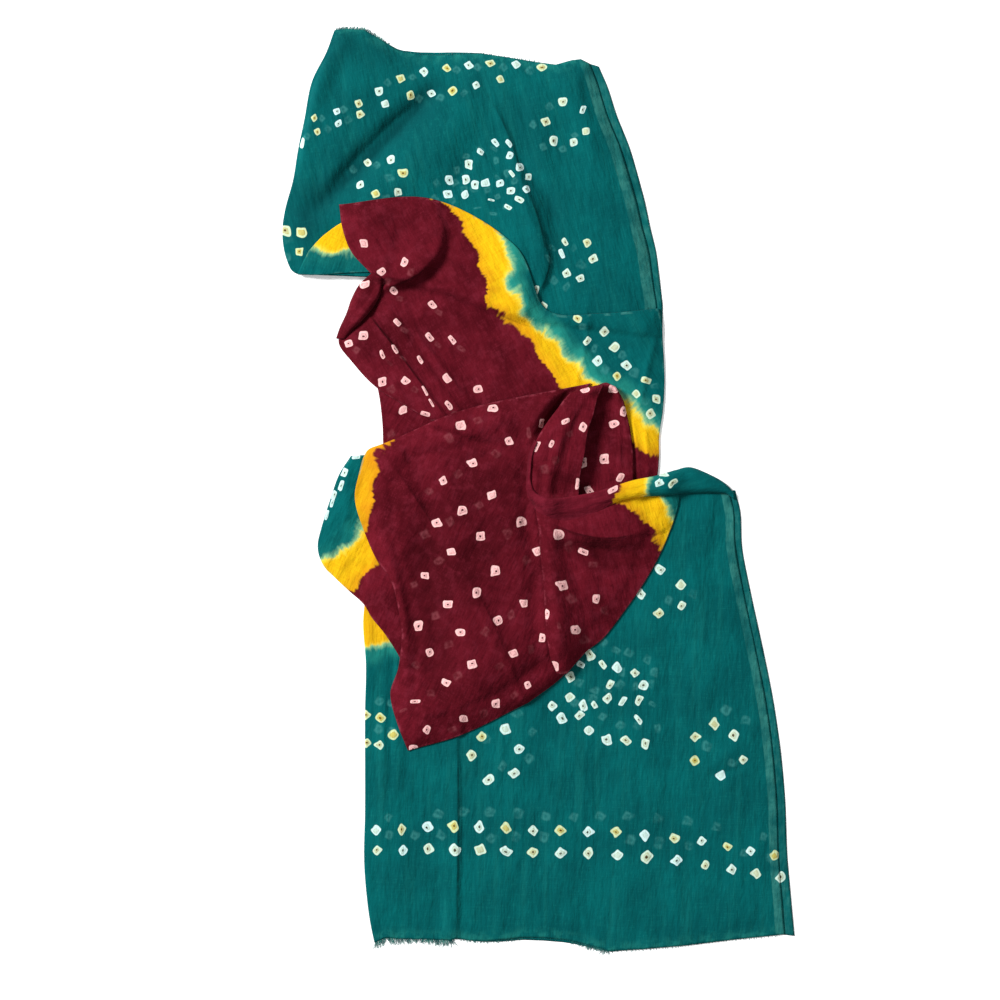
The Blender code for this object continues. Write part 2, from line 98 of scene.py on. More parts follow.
def plan_grid(rows, spacing, inset=(0.0, 0.0)):
    """Plan points [down, across, 2]. The sides are drawn in by `inset` millimetres, which
    may change from the first row to the last."""
    points = np.asarray(rows, float).reshape(len(rows), -1, 2)
    wide = np.linalg.norm(np.diff(points, axis=1), axis=2).sum(axis=1)
    deep = np.linalg.norm(np.diff(points, axis=0), axis=2).mean(axis=1)
    columns = max(FEWEST, int(wide.max() / spacing) + 1)
    down = max(FEWEST, int(deep.sum() / spacing) + 1)
    last = points.shape[1] - 1
    sections = []
    for k, (row, width) in enumerate(zip(points, wide)):
        ends = [gap if np.isscalar(gap) else np.interp(k, (0, len(points) - 1), gap)
                for gap in inset]
        low, high = (min(0.4, gap / max(width, 1.0)) for gap in ends)
        sections.append(curve(row, np.linspace(low * last, (1 - high) * last, columns)))
    wide_rows = np.stack(sections)
    along = np.concatenate([[0], np.cumsum(deep)])
    places = np.interp(np.linspace(0, along[-1], down), along, np.arange(len(points)))
    return curve(wide_rows.reshape(len(points), -1), places).reshape(down, columns, 2)


print("a test square of 50 mm has", plan_grid([(0, 0, 50, 0), (0, 50, 50, 50)], GRAIN).shape[0],
      "rows of points")

# %% [markdown]
# ## Uneven cut edge
#
# The ends were torn or cut by hand, so their edges aren't straight. A table says how far
# the edge lies past the straight line between its corners: share of the width, then
# millimetres. A finished mesh could be cut along that line, but that leaves odd faces.
# Here the rows behind the edge follow it less and less, and every face keeps its four
# sides.

# %% Shift the cut edge
HEM_REACH = 70.0        # how far in the cloth still follows its cut edge


def shift_cut_edge(grid, hem):
    """Moves the first rows outward, so that the cut edge has its uneven line."""
    share, out = np.array(hem, float).T
    along = np.linalg.norm(grid[0] - grid[0, 0], axis=1)
    dip = np.interp(along / along[-1], share, out)
    inward = grid[1] - grid[0]
    inward /= np.linalg.norm(inward, axis=1)[:, None]
    start = grid[0].copy()
    for row in grid:
        far = np.linalg.norm(row - start, axis=1).mean()
        row -= inward * dip[:, None] * max(0.0, 1 - far / HEM_REACH)
    return grid


print("a cut edge shapes the first", HEM_REACH, "mm of its end")

# %% [markdown]
# ## Height of the heap
#
# A raster remembers the highest cloth at each spot. The next stretch lies on a softened
# cover of it, so the edges below show through as gentle steps, as they do in real cotton.
# Physics would give the same order of layers, but not these places.

# %% Raster of the heap
CELL = 1.5              # size of a cell of the raster
HALF_X, HALF_Y = 330.0, 570.0       # half its width and length
NX, NY = int(2 * HALF_X / CELL), int(2 * HALF_Y / CELL)
heap = np.zeros((NY, NX))


def spread(field, reach):
    """Highest value within `reach` cells."""
    for axis in (0, 1):
        field = np.max([np.roll(field, k, axis) for k in range(-reach, reach + 1)], axis=0)
    return field


def soften(field, reach):
    """Mean within `reach` cells, taken twice over."""
    for axis in (0, 1, 0, 1):
        field = sum(np.roll(field, k, axis) for k in range(-reach, reach + 1))
        field = field / (2 * reach + 1)
    return field


def blend(table, i, j, s, t):
    """Value between four cells: a share s past column i, and a share t past row j."""
    return ((1 - t) * ((1 - s) * table[j, i] + s * table[j, i + 1])
            + t * ((1 - s) * table[j + 1, i] + s * table[j + 1, i + 1]))


def read(field, plan):
    """Value of a raster at plan points, blended between its cells."""
    x = np.clip((plan[..., 0] + HALF_X) / CELL - 0.5, 0, NX - 2)
    y = np.clip((plan[..., 1] + HALF_Y) / CELL - 0.5, 0, NY - 2)
    i, j = x.astype(int), y.astype(int)
    return blend(field, i, j, x - i, y - j)


print("raster of the heap:", NX, "x", NY, "cells")

# %% [markdown]
# ## Resting on the heap
#
# A stretch can't pass through the cloth below it, and a little air stays between them. A
# ray cast down from each point would find the cloth below too, but it would give every
# sharp edge of it. The softened cover gives the rounded steps of real cotton.

# %% Cover, seat and new height
SPOTS = 4               # each face of a plan marks this many spots each way


def at_height(flat, height):
    """Plan points with a height each."""
    return np.concatenate([flat, height[..., None]], axis=-1)


def cover(over):
    """The heap, widened by `over` cells and softened."""
    return soften(spread(heap, over), max(1, over // 2))


def seat_on(raster, plan):
    """Height at which a stretch rests, with a little air over any cloth below it."""
    base = read(raster, plan)
    return base + SEAT * np.clip(base, 0, 1)


def remember(plan, top):
    """Raises the raster to the top of a stretch that has been laid."""
    both = at_height(plan, top)
    a, b, c, d = both[:-1, :-1], both[:-1, 1:], both[1:, :-1], both[1:, 1:]
    for s in np.linspace(0, 1, SPOTS):
        for t in np.linspace(0, 1, SPOTS):
            spot = (1 - s) * ((1 - t) * a + t * b) + s * ((1 - t) * c + t * d)
            i = np.clip(((spot[..., 0] + HALF_X) / CELL).astype(int), 0, NX - 1)
            j = np.clip(((spot[..., 1] + HALF_Y) / CELL).astype(int), 0, NY - 1)
            np.maximum.at(heap, (j, i), spot[..., 2])


print("the heap is", heap.max(), "mm high before anything is laid")

# %% [markdown]
# ## Distance to a line
#
# A crease and the edge of a dye are both lines on the cloth. A line is a chain of points,
# and each point of a sheet finds its nearest piece. Blender's curves can bend and sample
# a line too, but they don't tell its left side from its right, and a tuck and a dye edge
# need to know.

# %% Distance to a chain of points
ARC_PIECES = 8          # straight pieces that an arc is made of


def arc_points(x0, y0, xm, ym, x1, y1):
    """Chain of points along the arc from its first point, through the second, to the third."""
    t = np.linspace(0, 1, ARC_PIECES + 1)[:, None]
    start, through, end = (np.array(p, float) for p in ((x0, y0), (xm, ym), (x1, y1)))
    pull = 2 * through - 0.5 * (start + end)
    return (1 - t) ** 2 * start + 2 * t * (1 - t) * pull + t ** 2 * end


def beside_line(plan, line):
    """Signed distance to a chain of points (left of it is plus), and the share along it."""
    best = np.full(plan.shape[:-1], 1e9)
    signed, share = np.zeros_like(best), np.zeros_like(best)
    for k, (a, b) in enumerate(zip(line[:-1], line[1:])):
        run = b - a
        t = ((plan - a) @ run) / (run @ run)
        held = np.clip(t, 0, 1)
        away = plan - (a + held[..., None] * run)
        gap = np.linalg.norm(away, axis=-1)
        side = np.sign(run[0] * away[..., 1] - run[1] * away[..., 0])
        near = gap < best
        best = np.where(near, gap, best)
        signed = np.where(near, side * gap, signed)
        share = np.where(near, (k + held) / (len(line) - 1), share)
    return signed, share


print("a crease is drawn in", ARC_PIECES, "pieces")

# %% [markdown]
# ## Creases
#
# A crease is a gentle arc through three plan points, followed by its half width, its
# height (a minus height sinks) and its kind. `soft` is a rounded swell and `sharp` a
# pinched line. `step` is a tuck: it drops steeply on its left and fades out slowly on its
# right. `roll` is the same with a rounded shoulder. Sculpting by hand would give creases
# too, but a table can be read and changed.

# %% Height of the creases
SHARP_FALL = 1.3        # how fast a pinched line falls off, in half widths
FADE_OUT = 2.2          # half widths in which a tuck fades out on its right
STEP_DROP = 2.4         # distance in which a tuck drops on its left
ROLL_DROP = 0.45        # the same for a rounded shoulder, in half widths
TUCK_SHADE_HEIGHT = 4.0           # height of a tuck whose painted shadow line is at full strength
TUCK_SHADE_REACH = 6.0     # distance in which the painted shadow line of a tuck dies away


def crease_height(plan, creases):
    """Sum of all the creases of a stretch, at its plan points."""
    total = np.zeros(plan.shape[:-1])
    for *points, half, height, kind in creases:
        off, share = beside_line(plan, arc_points(*points))
        fade = np.sin(math.pi * np.clip(0.1 + 0.8 * share, 0, 1)) ** 0.7
        beyond = np.clip(np.abs(off) / half, 0, 60)
        if kind == "soft":
            shape = np.exp(-beyond ** 2)
        elif kind == "sharp":
            shape = np.exp(-beyond * SHARP_FALL)
        else:
            drop = STEP_DROP if kind == "step" else ROLL_DROP * half
            shape = np.where(off < 0, np.exp(-beyond / FADE_OUT), np.exp(-(off / drop) ** 2))
        total += height * fade * shape
    return total


def tuck_shade_lines(plan, creases):
    """Signed distance to the nearest tuck line, and how strong its painted shadow still is."""
    signed, near = np.full(len(plan), FAR), np.zeros(len(plan))
    for *points, _half, height, kind in creases:
        if kind != "step":
            continue
        off, share = beside_line(plan, arc_points(*points))
        fade = np.clip(np.minimum(share, 1 - share) / 0.25, 0, 1)
        strong = min(1.0, abs(height) / TUCK_SHADE_HEIGHT) * fade * np.exp(-(off / TUCK_SHADE_REACH) ** 2)
        signed = np.where(strong > near, off, signed)
        near = np.maximum(strong, near)
    return signed, near


print("a tuck shows as a pressed line up to", TUCK_SHADE_REACH, "mm away, and fades from there")

# %% [markdown]
# ## Unevenness and edges
#
# Handloom cotton never lies quite flat, so each stretch also gets a faint swell that no
# other stretch shares. A Displace modifier could add it, but the next stretch has to rest
# on it, so it is worked out with the other heights. Everything that lifts a sheet fades
# out towards its edges, which needs the distance of each point to all four of them.

# %% Swell and distance to the edges
BUMPS = 96              # a square table of this many random heights on each side
AWAY = 40               # keeps all places in that table above nought


def uneven(plan, size, seed):
    """Smooth random swell between -1 and 1, with bumps about `size` millimetres wide."""
    table = np.random.default_rng(seed).uniform(-1, 1, (BUMPS, BUMPS))
    x, y = plan[..., 0] / size + AWAY, plan[..., 1] / size + AWAY
    i, j = np.floor(x).astype(int), np.floor(y).astype(int)
    s, t = x - i, y - j
    s, t = s * s * (3 - 2 * s), t * t * (3 - 2 * t)
    return blend(table, i % (BUMPS - 1), j % (BUMPS - 1), s, t)


def inside_by(plan):
    """Rough distance of each point of a sheet to its left, right, first and last edge."""
    step = np.linalg.norm(np.diff(plan, axis=1), axis=2)
    across = np.concatenate([np.zeros((len(plan), 1)), np.cumsum(step, axis=1)], axis=1)
    step = np.linalg.norm(np.diff(plan, axis=0), axis=2)
    down = np.concatenate([np.zeros((1, plan.shape[1])), np.cumsum(step, axis=0)], axis=0)
    return across, across[:, -1:] - across, down, down[-1:] - down


def ease(distance, reach):
    """Rises from 0 at the edge to 1 at `reach`, steeply first."""
    return np.sin(0.5 * math.pi * np.clip(distance / reach, 0, 1))


print("halfway to its reach, a lift is at", round(float(ease(0.5, 1.0)), 2), "of its height")

# %% [markdown]
# ## Dye
#
# The cloth is green at its ends and maroon in the middle, with a narrow yellow band
# between them. A stretch that shows an edge between two dyes has it as a chain of plan
# points, with the next colour on the chain's left. The bands could be painted on, but
# paint is only as fine as its pixels. The shader turns the distance to the chain into a
# ragged edge instead, which stays fine however near the camera is.

# %% Distance past a dye edge
ALL_GREEN = (-90, -90)      # distances past the yellow and the maroon edge, without a chain
ALL_MAROON = (90, 90)


def line_side(plan, line, otherwise):
    """Distance past a dye edge, and how far along that edge, both in mm."""
    if line is None:
        return np.full(plan.shape[:-1], float(otherwise)), np.zeros(plan.shape[:-1])
    line = np.array(line, float)
    side, share = beside_line(plan, line)
    reached = np.append(0, np.cumsum(np.linalg.norm(np.diff(line, axis=0), axis=1)))
    return side, np.interp(share * (len(line) - 1), np.arange(len(line)), reached)


print("without a chain, green counts as", -ALL_GREEN[0], "mm before any edge")

# %% [markdown]
# ## Tied dots
#
# Bandhani dots are tied one by one, in rows, rings and a lattice. A dot is a tuple: x, y,
# half length, half width, the turn of its length in degrees, and a tint that is 0 for
# white and 1 for the yellow thread stain. Rows come from a rule, because they are even.
# Rings, clusters and the lattice are charted one by one, because no two are the same.

# %% Rows and charts of dots
DOT = 4.7               # half width of a dot with its pale rim


def wobble(k, scale=1.0):
    """A small change to either side that looks random and is the same in each run."""
    return scale * (math.sin(12.9 * k + 4.1) + math.sin(7.3 * k + 1.7)) * 0.5


def one_dot(x, y, k, turn, size, tint, narrow=1.0):
    """x, y, half length, half width, turn of its length in degrees, tint of its stain."""
    grow = 1 + wobble(k + 3, 0.1)
    return (x, y, size * grow * (1.12 if narrow < 0.8 else 1.0),
            size * grow * narrow * (1 + wobble(k + 8, 0.1)), turn,
            float(np.clip(tint + wobble(2 * k, 0.18), 0, 1)))


def dot_row(knots, count, size, turn=45, tints=(0.1, 0.9)):
    """A row with even steps, where white and yellow stains take turns."""
    points = curve(np.array(knots, float), np.linspace(0, len(knots) - 1, count))
    return [one_dot(x + wobble(k, 1.0), y + wobble(k + 9, 1.0), k, turn + wobble(k, 12),
                    size, tints[k % 2]) for k, (x, y) in enumerate(points)]


def chart(points, turn=12, size=DOT, tint=0.0, spin=14):
    """Loose dots, one by one. Two more numbers narrow a dot on the slope of a fold, and
    turn its length along that fold."""
    dots = []
    for k, (x, y, *slope) in enumerate(points):
        narrow, along = slope or (1.0, turn + wobble(k + x, spin))
        dots.append(one_dot(x, y, k + x, along, size, tint * (1 + wobble(3 * k + y)), narrow))
    return dots


def shifted(dots, dx, dy):
    """The same dots on the layer below, seen faintly through this one."""
    return [(x + dx + wobble(k, 2.5), y + dy + wobble(k + 2, 2.5), a * 1.05, b * 1.05,
             turn + 20, tint) for k, (x, y, a, b, turn, tint) in enumerate(dots)
            if wobble(k + x) > -0.55]


print("a plain dot is about", 2 * DOT, "mm wide")

# %% [markdown]
# ## Shader nodes that reckon and mix
#
# A material is a graph of nodes. It could be wired by hand in the Shader Editor, but one
# with this many nodes is easier to follow as text. Each helper adds one node, or a short
# chain of them, and hands back its output socket, so that a look reads like arithmetic.

# %% Helpers for sums and colours
class Nodes:
    """Short way to write shader nodes: every call returns the socket that it makes."""

    def __init__(self, name):
        self.material = bpy.data.materials.new(name)
        self.material.use_nodes = True
        self.tree = self.material.node_tree
        self.shader = self.tree.nodes["Principled BSDF"]

    def put(self, socket, value):
        if hasattr(value, "is_output"):
            self.tree.links.new(value, socket)
        else:
            socket.default_value = value

    def look(self, title, value):
        """Sets one input of the material's shader."""
        self.put(self.shader.inputs[title], value)

    def math(self, kind, a, b=0.0):
        node = self.tree.nodes.new("ShaderNodeMath")
        node.operation = kind
        self.put(node.inputs[0], a)
        self.put(node.inputs[1], b)
        return node.outputs[0]

    def times(self, product, *others):
        for other in others:
            product = self.math("MULTIPLY", product, other)
        return product

    def plus(self, total, *others):
        for other in others:
            total = self.math("ADD", total, other)
        return total

    def swing(self, noise, amount):
        """Noise as a swing of up to half of `amount` to both sides of nought."""
        return self.times(self.math("SUBTRACT", noise, 0.5), amount)

    def ramp(self, value, low, high, out_low=0.0, out_high=1.0):
        node = self.tree.nodes.new("ShaderNodeMapRange")
        node.interpolation_type = "SMOOTHSTEP"
        for k, v in enumerate((value, low, high, out_low, out_high)):
            self.put(node.inputs[k], v)
        return node.outputs[0]

    def mix(self, share, a, b, kind="MIX"):
        node = self.tree.nodes.new("ShaderNodeMix")
        node.data_type, node.blend_type = "RGBA", kind
        for k, v in ((0, share), (6, a), (7, b)):
            self.put(node.inputs[k], v)
        return node.outputs[2]

    def layered(self, colour, *layers):
        """Mixes in one layer after another: noise, its range, the shares and the colour."""
        for noise, low, high, least, most, other in layers:
            colour = self.mix(self.ramp(noise, low, high, least, most), colour, other)
        return colour


print("helpers for sums and colours:", sum(callable(v) for v in vars(Nodes).values()) - 1)

# %% [markdown]
# ## Shader nodes that read the cloth
#
# Where a thread of the cloth lies is stored on its mesh. These helpers read such places,
# and make noise and bumps from them. A node group could do the same, but what goes on
# inside it is hard to see.

# %% Helpers for places, noise and bumps
class Look(Nodes):
    """A material with all that it reads from its mesh."""

    def attribute(self, name, output="Fac"):
        node = self.tree.nodes.new("ShaderNodeAttribute")
        node.attribute_name = name
        return node.outputs[output]

    def object_place(self):
        return self.tree.nodes.new("ShaderNodeTexCoord").outputs["Object"]

    def stretch(self, vector, x, y, shift=0.0):
        node = self.tree.nodes.new("ShaderNodeMapping")
        node.inputs["Scale"].default_value = (x, y, 1.0)
        node.inputs["Location"].default_value = (shift, shift, shift)
        self.put(node.inputs["Vector"], vector)
        return node.outputs[0]

    def noise(self, vector, scale, detail, rough=0.5):
        node = self.tree.nodes.new("ShaderNodeTexNoise")
        self.put(node.inputs["Vector"], vector)
        node.inputs["Scale"].default_value = scale
        node.inputs["Detail"].default_value = detail
        node.inputs["Roughness"].default_value = rough
        return node.outputs["Fac"]

    def join(self, x, y):
        node = self.tree.nodes.new("ShaderNodeCombineXYZ")
        self.put(node.inputs[0], x)
        self.put(node.inputs[1], y)
        return node.outputs[0]

    def split(self, vector):
        node = self.tree.nodes.new("ShaderNodeSeparateXYZ")
        self.put(node.inputs[0], vector)
        return node.outputs[0], node.outputs[1]

    def bump(self, height, strength, distance):
        node = self.tree.nodes.new("ShaderNodeBump")
        node.inputs["Strength"].default_value = strength
        node.inputs["Distance"].default_value = distance
        self.put(node.inputs["Height"], height)
        return node.outputs[0]


print("helpers that read the cloth:", sum(callable(v) for v in vars(Look).values()))

# %% [markdown]
# ## Colours
#
# Three dyes, each with a few depths. A dyer never gets one flat colour: the cloth takes
# more dye in some threads and less in others. A colour ramp could hold the depths of a
# dye, but named colours can be mixed by any noise. Each tied dot has three versions, for
# white and stained dots on green or yellow, and for the dots that the maroon dye tinted
# pink.

# %% Dye and dot colours
GREEN = (0.0002, 0.100, 0.102, 1)
GREEN_DEEP = (0.0001, 0.074, 0.078, 1)
GREEN_LIGHT = (0.006, 0.150, 0.136, 1)
GREEN_WORN = (0.012, 0.175, 0.150, 1)
# painted highlight along folded edges, on green
GREEN_FOLD_HIGHLIGHT = (0.06, 0.24, 0.21, 1)
GREEN_GHOST = (0.058, 0.285, 0.265, 1)
SELVEDGE_GREEN = (0.036, 0.205, 0.178, 1)
THREAD_GREEN = (0.02, 0.22, 0.19, 1)
TEAL = (0.020, 0.265, 0.205, 1)
HALO = (0.26, 0.50, 0.24, 1)
YELLOW = (0.76, 0.46, 0.006, 1)
YELLOW_DEEP = (0.66, 0.31, 0.003, 1)
YELLOW_PALE = (0.82, 0.64, 0.06, 1)
# amber: on the flap's left edge this darker yellow is painted shade
AMBER = (0.47, 0.195, 0.004, 1)
ORANGE = (0.52, 0.16, 0.006, 1)
MAROON = (0.112, 0.0052, 0.0125, 1)
MAROON_DEEP = (0.062, 0.0022, 0.0060, 1)
MAROON_LIGHT = (0.162, 0.0135, 0.0275, 1)
# painted highlight: the colour that lightens the roll's maroon
MAROON_HIGHLIGHT = (0.205, 0.018, 0.042, 1)
# painted highlight along folded edges, on maroon
MAROON_FOLD_HIGHLIGHT = (0.24, 0.040, 0.060, 1)
MAROON_GHOST = (0.24, 0.060, 0.072, 1)
# painted shade: DIP_SHADE is multiplied into the hollows that the tables of painted shade mark
DIP_SHADE = (0.52, 0.42, 0.46, 1)
# painted shadow: TUCK_SHADE darkens the line right under a tuck
TUCK_SHADE = (0.2, 0.2, 0.2, 1)
DOT_RIM = ((0.55, 0.76, 0.76, 1), (0.54, 0.65, 0.36, 1), (0.80, 0.46, 0.45, 1))
DOT_CORE = ((0.48, 0.66, 0.62, 1), (0.48, 0.43, 0.11, 1), (0.72, 0.39, 0.385, 1))
DOT_RING = ((0.34, 0.42, 0.25, 1), (0.44, 0.30, 0.04, 1), (0.38, 0.13, 0.14, 1))
DOT_SPECK = ((0.03, 0.03, 0.012, 1), (0.10, 0.04, 0.006, 1), (0.04, 0.004, 0.008, 1))
SELVEDGE = 13.0             # width of a plain selvedge
UNDER_SELVEDGE = 13.7       # an under layer's edge counts as this far in, where it is faint
print("the green dye reflects", GREEN[1], "of green light, and the maroon one", MAROON[1])

# %% [markdown]
# ## Threads, mottle and the edge of a dye
#
# Every stretch is the same cloth, so they share one material. Each sheet carries `weave`,
# its plan turned to the direction of its threads, so noise can be stretched along them:
# that gives the slub of the warp and weft. A picture of cloth could be wrapped on
# instead, but it would repeat, and these noises don't. A dye creeps along the threads, so
# its edge wanders slowly and has small teeth, which point one way for yellow and the
# other way for maroon.

# %% Noises of the cotton
class Cotton(Look):
    """The noises and distances that the dyes, the dots and the weave share."""

    def __init__(self, name):
        super().__init__(name)
        self.weave = self.attribute("weave", "Vector")  # metres across and along the threads
        self.mottle = self.noise(self.weave, 20, 4, 0.6)
        self.patch = self.noise(self.weave, 90, 4, 0.65)
        self.warp = self.noise(self.stretch(self.weave, 1.0, 0.06), 900, 3, 0.65)
        self.weft = self.noise(self.stretch(self.weave, 0.08, 1.0, 3.0), 800, 2, 0.6)
        self.bands = self.noise(self.stretch(self.weave, 1.0, 0.05, 9.0), 110, 3, 0.6)
        self.tone = self.plus(self.times(self.warp, 0.6), self.times(self.weft, 0.4))
        self.feather = self.noise(self.stretch(self.weave, 1.0, 0.35, 7.0), 330, 2, 0.55)
        wander = self.noise(self.stretch(self.weave, 1.0, 0.8, 11.0), 70, 0)
        self.wander = self.swing(wander, 15.0)
        self.to_yellow = self.dye_edge("yellow", 10.0, 3.2, 1.0)
        self.to_maroon = self.dye_edge("maroon", 12.0, 2.2, -1.0)
        self.in_maroon = self.ramp(self.to_maroon, -1.7, 1.7)

    def dye_edge(self, title, tooth, streak, turn):
        """Distance past the edge in mm; `turn` says which dye has the pointed teeth."""
        away = self.attribute("to_" + title)
        place = self.join(self.times(self.attribute("along_" + title), METRE),
                          self.times(away, 0.24 * METRE))
        big = self.noise(self.stretch(place, 1.0, 1.0, 2.0 + turn), 150, 0)
        thin = self.noise(self.stretch(place, 1.0, 1.0, 5.0 + turn), 620, 2, 0.6)
        points = self.math("ABSOLUTE", self.math("SUBTRACT", big, 0.5))
        points = self.times(self.math("SUBTRACT", points, 0.09), tooth * turn)
        return self.plus(away, self.wander, points, self.swing(thin, streak))


print("made the weave, its mottle and the edges of two dyes")

# %% [markdown]
# ## The green dye
#
# Over the plain green lie the slub of the threads, the pale selvedge, the worn cut edge
# and, beside the yellow, a teal halo that ends in a thin pale one. Each could be a
# material of its own, with sharp borders. Mixed in one, they fade into each other as dyes
# do. `halo` is how strong the wide halo is on this stretch.

# %% Green layers
def green_cloth(n):
    green = n.mix(n.ramp(n.mottle, 0.34, 0.68), GREEN_DEEP, GREEN)
    green = n.layered(green, (n.bands, 0.50, 0.72, 0.0, 0.26, GREEN_LIGHT),
                      (n.tone, 0.50, 0.68, 0.0, 0.42, GREEN_LIGHT),
                      (n.tone, 0.46, 0.34, 0.0, 0.35, GREEN_DEEP))
    strip = n.plus(n.attribute("selvedge"), n.swing(n.feather, 2.1))
    strip = n.times(n.ramp(strip, SELVEDGE + 1.3, SELVEDGE - 0.2), n.ramp(strip, 0.4, 1.8),
                    n.ramp(n.mottle, 0.36, 0.58, 0.25, 1.0),
                    n.ramp(n.patch, 0.34, 0.62, 0.30, 0.75))
    green = n.mix(strip, green, SELVEDGE_GREEN)
    worn = n.times(n.ramp(n.attribute("cut_edge"), 15.0, 1.0),
                   n.ramp(n.patch, 0.42, 0.60, 0.05, 0.6))
    green = n.mix(worn, green, GREEN_WORN)
    wide_halo = n.times(n.ramp(n.to_yellow, -26.0, -5.0),
                        n.ramp(n.mottle, 0.30, 0.62, 0.45, 1.0), n.attribute("halo"), 0.8)
    green = n.mix(wide_halo, green, TEAL)
    thin_halo = n.times(n.ramp(n.to_yellow, -7.5, -0.5),
                        n.ramp(n.feather, 0.30, 0.60, 0.65, 1.0), 0.85)
    return n.mix(thin_halo, green, HALO)


print("green has slub, a selvedge, a worn cut edge and two halos")

# %% [markdown]
# ## The yellow and the maroon dye
#
# Yellow is palest where it meets the green, and some stretches are tinged amber; on the
# flap's left edge that amber is painted shade.
# Maroon has darker and lighter patches, and a painted highlight lightens the roll. One
# function with a table of colours could serve every dye, but each of these has layers
# that the others lack.

# %% Yellow and maroon layers
def yellow_cloth(n):
    yellow = n.layered(YELLOW, (n.tone, 0.44, 0.66, 0.0, 0.7, YELLOW_DEEP),
                       (n.mottle, 0.50, 0.72, 0.0, 0.6, YELLOW_DEEP),
                       (n.to_yellow, 6.0, 0.5, 0.0, 0.75, YELLOW_PALE))
    # on the flap's left edge, amber is painted shade
    amber = n.times(n.attribute("amber"), n.ramp(n.mottle, 0.30, 0.62, 0.6, 1.0))
    return n.mix(amber, yellow, AMBER)


def maroon_cloth(n):
    maroon = n.mix(n.ramp(n.mottle, 0.32, 0.66), MAROON_DEEP, MAROON)
    maroon = n.layered(maroon, (n.patch, 0.48, 0.66, 0.0, 0.35, MAROON_LIGHT),
                       (n.patch, 0.46, 0.32, 0.0, 0.55, MAROON_DEEP),
                       (n.tone, 0.50, 0.68, 0.0, 0.45, MAROON_LIGHT),
                       (n.tone, 0.46, 0.34, 0.0, 0.40, MAROON_DEEP))
    # painted highlight, used on the roll
    pale = n.times(n.attribute("pale"), n.ramp(n.mottle, 0.30, 0.55, 0.7, 1.0))
    return n.mix(pale, maroon, MAROON_HIGHLIGHT)


print("yellow can be amber, and maroon can be pale")

# %% [markdown]
# ## Three dyes in one cloth
#
# The dyes are mixed by the distances past their edges, with a breath of orange where the
# yellow nears the maroon. Then come light and shade that the thin cloth shows and its
# shape is too coarse for, painted into the colour: painted shade in the dips, a painted
# shadow line right under a tuck, and a painted highlight along folded edges. A mesh ten
# times finer could show them as well, at a hundred times the faces.

# %% All dyes together
def dyed_cloth(n):
    base = n.mix(n.ramp(n.to_yellow, -2.4, 2.4), green_cloth(n), yellow_cloth(n))
    base = n.mix(n.times(n.ramp(n.to_maroon, -13.0, 0.0), 0.45), base, ORANGE)
    base = n.mix(n.in_maroon, base, maroon_cloth(n))
    # painted shade in the hollows, multiplied into the colour
    base = n.mix(n.attribute("deep"), base, DIP_SHADE, "MULTIPLY")
    # painted shadow: a thin dark line right under each tuck
    tuck = n.attribute("tuck")
    shaded = n.times(n.ramp(tuck, -1.1, 0.1), n.ramp(tuck, 2.6, 0.3),
                      n.attribute("tuck_shade_strength"), n.ramp(n.patch, 0.34, 0.56, 0.35, 0.85))
    base = n.mix(shaded, base, TUCK_SHADE, "MULTIPLY")
    # painted highlight: a lighter line along folded edges
    highlit = n.times(n.ramp(n.attribute("folded"), 1.4, 0.2),
                     n.ramp(n.patch, 0.46, 0.66, 0.0, 0.45))
    return n.mix(highlit, base, n.mix(n.in_maroon, GREEN_FOLD_HIGHLIGHT, MAROON_FOLD_HIGHLIGHT))


print("three dyes lie in one cloth, with dips, pressed lines and rubbed folds")

# %% [markdown]
# ## The look of a tied dot
#
# Thread wound round a pinch of cloth keeps the dye out. It leaves a pale rounded square
# with a faint ring and, in most dots, a dark speck where the tip stood out of the thread.
# The dots of the layer below show through faintly. A dot could be a small patch laid on
# the sheet, but it is dye and has no thickness, so the shader draws it.

# %% Dot layers
def dot_reach(n, name, shift):
    """How far out in its dot a point lies, from 0 in the middle to 1 at the rim, where
    the rounded square is pulled a little out of true."""
    x, y = n.split(n.attribute(name, "Vector"))
    shake = n.noise(n.stretch(n.weave, 1.0, 1.0, shift), 115, 0)
    shear = n.noise(n.stretch(n.weave, 1.0, 1.0, shift + 4.0), 105, 0)
    powers = [n.math("POWER", n.math("ABSOLUTE", n.plus(side, n.swing(pull, 0.95))), 4.0)
              for side, pull in ((x, shake), (y, shear))]
    return n.math("POWER", n.plus(*powers), 0.25)


def dots_below(n, base):
    below = dot_reach(n, "ghost", 5.0)
    ghost = n.times(n.ramp(below, 1.15, 0.60), n.ramp(below, 0.15, 0.50, 0.5, 1),
                    n.ramp(n.patch, 0.36, 0.60, 0.07, 0.38))
    return n.mix(ghost, base, n.mix(n.in_maroon, GREEN_GHOST, MAROON_GHOST))


def dots_on_top(n, base, reach):
    tint = n.attribute("dot_tint")
    rim, core, ring_colour, dark = (
        n.mix(n.in_maroon, n.mix(tint, white, stained), pink)
        for white, stained, pink in (DOT_RIM, DOT_CORE, DOT_RING, DOT_SPECK))
    inside = n.mix(n.ramp(reach, 0.66, 0.46), rim, core)
    ring = n.times(n.ramp(reach, 0.42, 0.52), n.ramp(reach, 0.66, 0.56),
                   n.ramp(n.feather, 0.36, 0.60, 0.10, 0.75))
    inside = n.mix(ring, inside, ring_colour)
    speck = n.times(n.ramp(reach, 0.30, 0.16), n.ramp(n.attribute("dot_speck"), 0.45, 0.55))
    inside = n.mix(speck, inside, dark)
    inside = n.mix(n.ramp(n.tone, 0.54, 0.38, 0.0, 0.25), inside, core)
    return n.mix(n.ramp(reach, 1.05, 0.95), base, inside)


print("a dot's rim has", len(DOT_RIM), "versions: white, stained and pink")

# %% [markdown]
# ## The cotton
#
# Fine cotton is matt with hardly any shine. Its plain weave, a crinkle and a soft
# unevenness could be modelled only with millions of faces, so they are a bump. A little
# pucker stands in each dot, where the cloth was tied.

